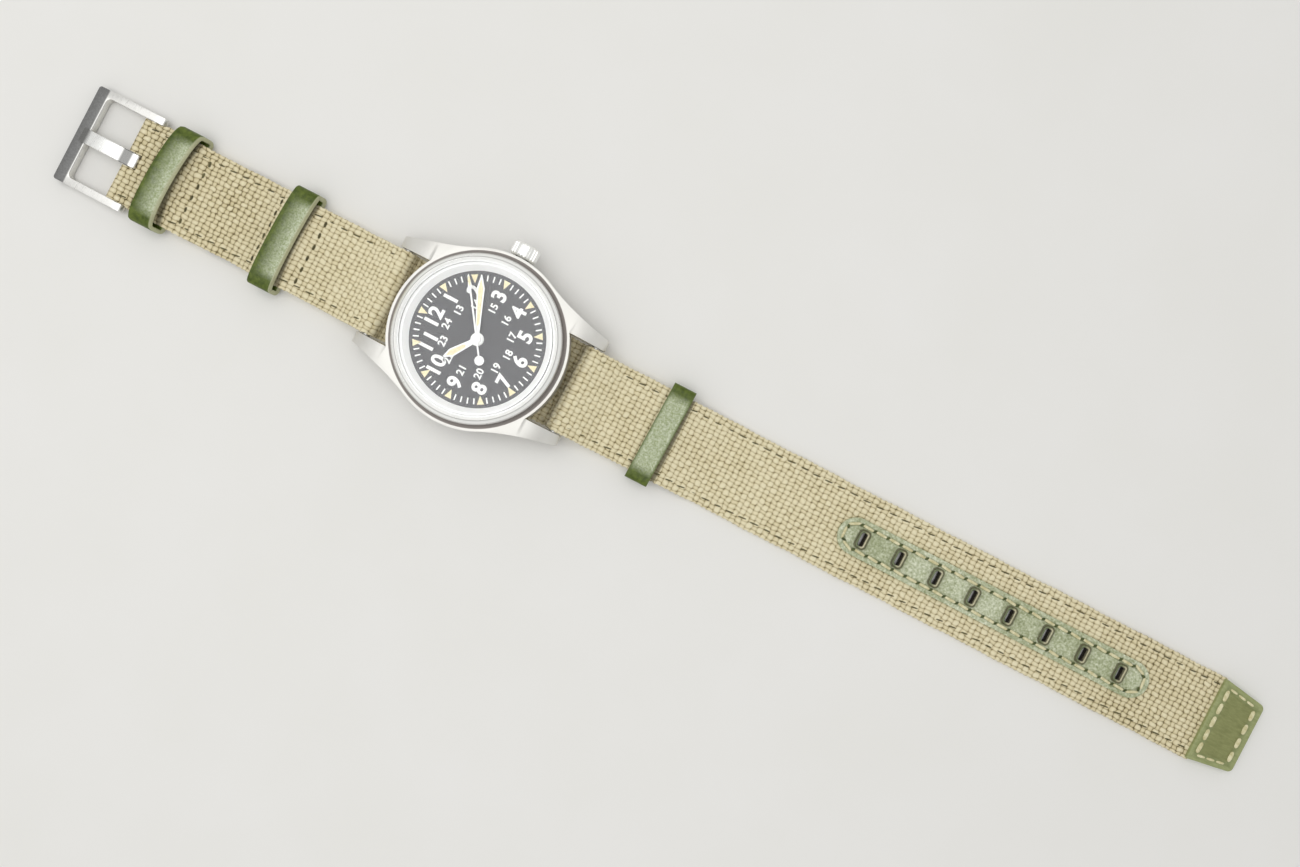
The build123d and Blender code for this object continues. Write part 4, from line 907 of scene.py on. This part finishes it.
def row_stitches(route, x):
    chance = random.Random(round(-x))
    z, slope = top_of(route, x)
    places = []
    for number in range(ROW_COUNT):
        places.append((x + chance.uniform(-0.12, 0.12), ROW_PITCH * (number - ROW_COUNT / 2 + 0.5)))
    made = []
    for across_x, y in places:
        turn = math.pi / 2 + chance.uniform(-0.2, 0.2)
        made.append(((across_x, y, z - THREAD_SUNK), turn, 0, *ROW_STITCH))
    return made


tail_thread = stitched("edge_stitches_tail", edge_stitches(TAIL_ROUTE, *TAIL_SEWN), dark_thread)
crosses(tail_thread, "tail_strap")
sewn = edge_stitches(BUCKLE_ROUTE, *BUCKLE_SEWN)
for x in ROWS:
    sewn += row_stitches(BUCKLE_ROUTE, x)
buckle_thread = stitched("edge_stitches_buckle_side", sewn, dark_thread)
crosses(buckle_thread, "buckle_side_strap")

# Leather keepers
# Three loops of olive bridle leather, about one millimetre thick, closed on the underside.
# Their tops are painted pale, as painted sheen over a slight waxy gloss, and the loops by the buckle lean
# towards it.
LEATHER = 0.95
KEEPER_HALF = 2.55
KEEPER_FLOOR = 1.20
BAND_ABOVE = 3.45
SIDE_SHARE = 0.35
KEEPER_PEBBLES = (1700, 0.9)
KEEPER_GRAIN = 0.11 * MM
SHOULDER = (7.4 * MM, 9.4 * MM)
TAIL_SIDE = (0.0, 30 * MM)
OLIVE_SIDE = (84, 97, 40)
OLIVE_CREASED = [(0.35, (60, 74, 16)), (0.65, (92, 106, 38))]
OLIVE_SHEEN = [(0.34, (150, 161, 118)), (0.66, (208, 214, 188))]
CUT_EDGE = (184, 184, 152)


def pebbled(made, scale, randomness):
    inputs = {"Vector": on_object(made), "Scale": scale, "Randomness": randomness}
    return step(made, "TexVoronoi", inputs, feature="SMOOTH_F1")


waxed = {"Coat Weight": 0.18, "Coat Roughness": 0.3, "Coat IOR": 1.5, "Specular IOR Level": 0.2}
keeper_leather = finish_for("sheen_leather", OLIVE_SIDE, 0.38, 0.0, waxed)
pebbles = pebbled(keeper_leather, *KEEPER_PEBBLES)
creases = mottle(keeper_leather, 900, 5, 0.65)
x, y = axes(keeper_leather)[:2]
along_loop = axes(keeper_leather, step(keeper_leather, "UVMap", uv_map="cloth"))[1]
flat_keeper = span(x, 0.0, 1.0, *TAIL_SIDE)
# Painted sheen: the tops are painted pale in speckled patches, over the whole top of the tail side's keeper
# and rising towards the +x side on the others.
sheen_side = higher(span(along_loop, 0.0, 1.0, -1.9, 1.8), flat_keeper * 0.92)
blotches = mottle(keeper_leather, 1500, 4, 0.7) - pebbles * 0.3
painted_sheen = span(abs(y), 1.0, 0.0, *SHOULDER) * sheen_side * span(blotches, 0.72, 1.0, 0.2, 0.6)
speckle = mottle(keeper_leather, 2600, 3, 0.65)
surface = blended(painted_sheen, tones(creases, OLIVE_CREASED), tones(speckle, OLIVE_SHEEN))
# Painted shade along both long edges of the tail side's keeper, where its top curves away.
edge_shade = span(abs(along_loop), 0.0, 0.85, 1.9, 2.45) * flat_keeper
surface = blended(edge_shade, surface, OLIVE_SIDE)
rim = span(along_loop, 0.0, 1.0, 2.28, 2.5) * (1.0 - flat_keeper)
into(keeper_leather, blended(rim * 0.75, surface, CUT_EDGE), "Base Color")
into(keeper_leather, span(creases, 0.32, 0.5, 0.35, 0.65), "Roughness")
into(keeper_leather, relief(creases - pebbles * 0.7, KEEPER_GRAIN), "Normal")


def keeper(name, node, body, x, width, top, lean, skew):
    # Its section has a level floor, upright sides and a flat arch. It leans over and lies askew.
    half = width / 2 - LEATHER / 2
    shoulder = BAND_ABOVE + (top - LEATHER - BAND_ABOVE) * SIDE_SHARE
    crown = top - LEATHER / 2
    floor = KEEPER_FLOOR + LEATHER / 2
    arch = []
    for angle in range(12, 90, 6):
        cosine, sine = math.cos(math.radians(angle)), math.sin(math.radians(angle))
        arch.append((half * cosine, shoulder + (crown - shoulder) * sine ** 0.8, 0))
    side = [(half, floor, 0.7), (half, shoulder, 0.4)] + arch
    other = [(-y, z, r) for y, z, r in reversed(side)]
    corners = [(0, floor, 0)] + side + [(0, crown, 0)] + other + [(0, floor, 0)]
    loop = ribbon(name, corners, lambda place: KEEPER_HALF, LEATHER * MM, 8, 0.5, 0.25, "yz",
                  closed=True, rounding=0.3)
    rise = top - KEEPER_FLOOR
    for corner in loop.data.vertices:
        corner.co.x += x * MM - lean * (corner.co.z - KEEPER_FLOOR * MM) / rise + skew * corner.co.y
    return finished(loop, keeper_leather, body, (node,))


keeper("keeper_loop_by_buckle", "keeper_by_buckle", "buckle_side_strap",
       x=-73.15, width=22.7, top=6.4, lean=2.2, skew=0.045)
keeper("keeper_loop_middle", "keeper_middle", "buckle_side_strap",
       x=-46.0, width=23.2, top=5.5, lean=1.2, skew=0.012)
keeper("keeper_loop_under_strap", "keeper_under_strap", "tail_strap",
       x=42.6, width=22.5, top=4.75, lean=0.0, skew=0.02)

# Leather patch
# A long sage-coloured leather patch with eight embossed slots, sewn to the tail with cream thread.
# The seam lies in a groove, so the margin outside it stands up a little.
PATCH_START = 85.5
PATCH_END = 159.3
PATCH_HALF = 4.05
PATCH_TOP = 2.0
PATCH_SEAM = 1.3
PATCH_GRAIN = 0.2 * MM
PATCH_EDGE = 0.22 * MM
PATCH_PEBBLES = (1900, 1.0)
PATCH_STITCHES = 48
PATCH_STITCH = (2.75, 0.62)
PATCH_HOLE = (0.95, 0.55)
HOLE_TURN = 0.7
THREAD_PROUD = 0.02
HOLE_PROUD = 0.03
PATCH_TONES = [(0.36, (148, 156, 112)), (0.5, (192, 198, 165)), (0.64, (234, 237, 216))]
PATCH_HOLLOW_SHADE = (122, 128, 84)
PATCH_GROOVE_SHADE = (108, 114, 68)
SLOT_HALF = (0.4, 1.25)
SLOT_RIM = 0.78
SLOT_LEFT_SHADE = (92, 106, 60)
SLOT_CREAM = (206, 197, 164)
SLOT_BURNISHED = (82, 76, 30)
SLOT_WALL_SHADE = (58, 48, 26)
CREAM_THREAD = (208, 200, 158)

glazed = {"Coat Weight": 0.45, "Coat Roughness": 0.35}
patch_leather = finish_for("olive_leather", (152, 157, 122), 0.45, 0.0, glazed)
along, across = [axis / MM for axis in axes(patch_leather)[:2]]
middle = (PATCH_START + PATCH_END) / 2
straight = (PATCH_END - PATCH_START) / 2 - PATCH_HALF
from_spine = distance(higher(abs(along - middle) - straight, 0.0), across)
groove = bell(PATCH_HALF - from_spine - PATCH_SEAM, 9.0)

off_slot = off_whole((along - PUNCH_FIRST) / PUNCH_PITCH)
out_side = higher(abs(off_slot) * PUNCH_PITCH - SLOT_HALF[0], 0.0)
out_end = higher(abs(across) - SLOT_HALF[1], 0.0)
from_slot = distance(out_side, out_end)
burnish = span(abs(from_slot - SLOT_RIM), 1.0, 0.0, 0.05, 0.28)
hollow = span(from_slot, 1.0, 0.0, 0.8, 2.2)
slot_edge = span(from_slot, 0.85, 0.0, 0.5, 0.85)
inside_slot = span(from_slot, 1.0, 0.0, 0.18, 0.32)
# Round each slot the left side is painted green as painted shade, and the right side pale as its cut edge.
edge_colour = blended(span(off_slot, 0.0, 1.0, -0.03, 0.05), SLOT_LEFT_SHADE, SLOT_CREAM)

pebbles = pebbled(patch_leather, *PATCH_PEBBLES)
creases = mottle(patch_leather, 2300, 3, 0.7)
base = tones(creases * 0.68 + mottle(patch_leather, 110, 3) * 0.32, PATCH_TONES)
# Painted shade in the hollow round each slot and in the seam's groove.
base = blended(hollow * 0.45, base, PATCH_HOLLOW_SHADE)
base = blended(groove * 0.55, base, PATCH_GROOVE_SHADE)
base = blended(slot_edge, base, edge_colour)
base = blended(burnish * 0.85, base, SLOT_BURNISHED)
# The slot's walls are painted near black, as painted shade.
base = blended(inside_slot * 0.9, base, SLOT_WALL_SHADE)
# Painted shade in the creases between the pebbles of the grain.
pebble_crease_shade = tones(pebbles, [(0.0, (255, 255, 255)), (0.75, (206, 209, 196))])
shaded = {0: 1.0, 6: base, 7: pebble_crease_shade}
base = step(patch_leather, "Mix", shaded, out=2, data_type="RGBA", blend_type="MULTIPLY")
into(patch_leather, base, "Base Color")
height = creases * 0.6 - pebbles * 0.35 - groove * 1.6 - hollow * 0.7 - burnish
into(patch_leather, relief(height, PATCH_GRAIN), "Normal")
eased("hole_patch", "slotted_patch", PATCH_EDGE, "tail_strap", patch_leather, steps=3)

cream_thread = finish_for("cream_thread", CREAM_THREAD, 0.65)
speckled(cream_thread, 1200, (186, 178, 130), (222, 216, 180))
grained(cream_thread, 7000, 0.03 * MM)
stitch_hole_shade = finish_for("stitch_hole_shade", (62, 68, 30), 0.8)
speckled(stitch_hole_shade, 1500, (50, 60, 24), (86, 94, 48))


def seam_round(count, first):
    # Places evenly along the patch's seam: two straight runs and two half circles.
    radius = PATCH_HALF - PATCH_SEAM
    start, end = PATCH_START + PATCH_HALF, PATCH_END - PATCH_HALF
    run, bend = end - start, math.pi * radius
    for number in range(count):
        way = (number + first) * 2 * (run + bend) / count
        if way < run:
            yield start + way, radius, 0.0
        elif way < run + bend:
            angle = math.pi / 2 - (way - run) / radius
            yield end + radius * math.cos(angle), radius * math.sin(angle), angle - math.pi / 2
        elif way < 2 * run + bend:
            yield end - (way - run - bend), -radius, math.pi
        else:
            angle = -math.pi / 2 - (way - 2 * run - bend) / radius
            yield start + radius * math.cos(angle), radius * math.sin(angle), angle - math.pi / 2


chance = random.Random(5)
seam = []
for x, y, turn in seam_round(PATCH_STITCHES, 0.5):
    turn += chance.uniform(-0.12, -0.02)
    seam.append(((x, y, PATCH_TOP + THREAD_PROUD), turn, 0, *PATCH_STITCH))
stitched("patch_stitches", seam, cream_thread, "tail_strap")
# Dark ovals between the stitches stand for the stitch holes, as painted shade.
holes = []
for x, y, turn in seam_round(PATCH_STITCHES, 0):
    holes.append(((x, y, PATCH_TOP + HOLE_PROUD), turn + HOLE_TURN, 0, *PATCH_HOLE))
stitched("patch_stitch_holes", holes, stitch_hole_shade, "tail_strap")

# Leather tip cap
# A piece of the same leather folded over the strap's tip, so that the canvas can't fray.
# It is sewn through with cream thread, in a row across each end and a short one along each side.
CAP_START = 173.5
CAP_END = 183.5
CAP_TOP = 2.0
CAP_ROOT_HALF = 9.5
CAP_TAPER = 0.165
CAP_EDGE = 0.3 * MM
CAP_GRAIN = 0.16 * MM
CAP_SEAM = 1.45
CAP_OUTER = [(0.3, (124, 132, 78)), (0.7, (156, 162, 112))]
CAP_INNER = [(0.3, (108, 112, 60)), (0.7, (134, 138, 84))]
CAP_GROOVE_SHADE = (98, 106, 58)
CAP_ROWS = ((CAP_START + 1.5, 7.7, 2.6), (CAP_END - 1.75, 6.5, 2.4))
CAP_ROW_PITCH = 2.9
CAP_ROW_WIDTH = 0.95
CAP_SIDE_SEAM = 1.35
CAP_SIDE_FIRST = 2.6
CAP_SIDE_PITCH = 2.1
CAP_SIDE_STITCH = (1.8, 0.55)

waxed = {"Coat Weight": 0.25, "Coat Roughness": 0.45}
cap_leather = finish_for("cap_leather", (127, 130, 85), 0.55, 0.0, waxed)
along, across = [axis / MM for axis in axes(cap_leather)[:2]]
from_root = along - CAP_START
to_side = CAP_ROOT_HALF - from_root * CAP_TAPER - abs(across)
to_edge = lower(lower(from_root, CAP_END - along), to_side)
groove = bell(to_edge - CAP_SEAM, 3.5)
panel = span(to_edge, 0.0, 1.0, 1.6, 2.1)
drawn_out = {"Vector": on_object(cap_leather), "Scale": (0.35, 1.0, 1.0)}
creases = mottle(cap_leather, 1500, 5, 0.7, step(cap_leather, "Mapping", drawn_out))
base = blended(panel, tones(creases, CAP_OUTER), tones(creases, CAP_INNER))
# Painted shade in the seam's groove.
into(cap_leather, blended(groove * 0.4, base, CAP_GROOVE_SHADE), "Base Color")
into(cap_leather, relief(creases * 0.5 - groove * 1.3, CAP_GRAIN), "Normal")
eased("tip_cap", "leather_tip_cap", CAP_EDGE, "tail_strap", cap_leather, steps=4)
cap_seam = []
for x, reach, length in CAP_ROWS:
    count = round(2 * reach / CAP_ROW_PITCH)
    for number in range(count):
        y = -reach + (number + 0.5) * 2 * reach / count
        turn = math.pi / 2 + chance.uniform(-0.05, 0.05)
        cap_seam.append(((x, y, CAP_TOP + THREAD_PROUD), turn, 0, length, CAP_ROW_WIDTH))
for side in (-1, 1):
    for number in range(3):
        x = CAP_START + CAP_SIDE_FIRST + number * CAP_SIDE_PITCH
        y = side * (CAP_ROOT_HALF - CAP_SIDE_SEAM - CAP_TAPER * (x - CAP_START))
        cap_seam.append(((x, y, CAP_TOP + THREAD_PROUD), -side * CAP_TAPER, 0, *CAP_SIDE_STITCH))
stitched("cap_stitches", cap_seam, cream_thread, "tail_strap")
bpy.data.objects.remove(one_stitch)

# Buckle
# A flat steel frame, blasted on its end bar and polished on its arms, with a pressed-in bar. The end bar's
# dark grey is painted shade.
# The tongue is stamped from strip, bent down and rolled round the bar.
END_BAR_INNER = (-94.95 * MM, -94.65 * MM)
TONGUE_BENT = (-86.1 * MM, -85.5 * MM)
TONGUE_LEVEL = (-83.9 * MM, -83.3 * MM)
TONGUE_TIP = (-94.4 * MM, -93.4 * MM)
TONGUE_BRIGHT = (248, 248, 245)
TONGUE_SHADE = (128, 128, 126)
BRUSHED = 0.0025 * MM
FRAME_EDGE = 0.26 * MM
BAR_EDGE = 0.1 * MM
TONGUE_EDGE = 0.16 * MM


def brushed(made, scale, along_y):
    # Fine scratches that run across the watch, in y.
    stretched = step(made, "Mapping", {"Vector": on_object(made), "Scale": (1.0, along_y, 1.0)})
    return mottle(made, scale, 3, 0.6, stretched)


satin_steel = finish_for("satin_steel", (226, 225, 221), 0.34, 1.0)
brushing = brushed(satin_steel, 5200, 0.12)
# On the end bar the steel is painted dark grey, as painted shade.
on_end_bar = span(axes(satin_steel)[0], 1.0, 0.0, *END_BAR_INNER)
bright = tones(brushing, [(0.3, (220, 219, 215)), (0.7, (232, 231, 227))])
end_bar_shade = tones(mottle(satin_steel, 2600, 4, 0.7), [(0.3, (112, 112, 111)), (0.7, (134, 134, 133))])
into(satin_steel, blended(on_end_bar, bright, end_bar_shade), "Base Color")
into(satin_steel, span(brushing, 0.26, 0.36, 0.3, 0.7) + on_end_bar * 0.16, "Roughness")
into(satin_steel, relief(brushing, BRUSHED), "Normal")
eased("buckle_frame", "buckle_frame_finished", FRAME_EDGE, "buckle", satin_steel, steps=4)
eased("buckle_bar", "buckle_bar_finished", BAR_EDGE, "buckle", satin_steel)

tongue_steel = finish_for("tongue_steel", (238, 237, 233), 0.24, 1.0)
brushing = brushed(tongue_steel, 4200, 0.1)
x = axes(tongue_steel)[0]
# Painted shade where the tongue bends and at its tip, which bends down onto the end bar.
at_bend = span(x, 0.0, 1.0, *TONGUE_BENT) * span(x, 1.0, 0.0, *TONGUE_LEVEL)
bend_and_tip_shade = higher(at_bend, span(x, 1.0, 0.0, *TONGUE_TIP))
into(tongue_steel, tones(bend_and_tip_shade, [(0.0, TONGUE_BRIGHT), (1.0, TONGUE_SHADE)]), "Base Color")
into(tongue_steel, span(brushing, 0.24, 0.34, 0.3, 0.7), "Roughness")
into(tongue_steel, relief(brushing, BRUSHED), "Normal")
eased("buckle_tongue", "buckle_tongue_finished", TONGUE_EDGE, "tongue", tongue_steel,
      steps=3)
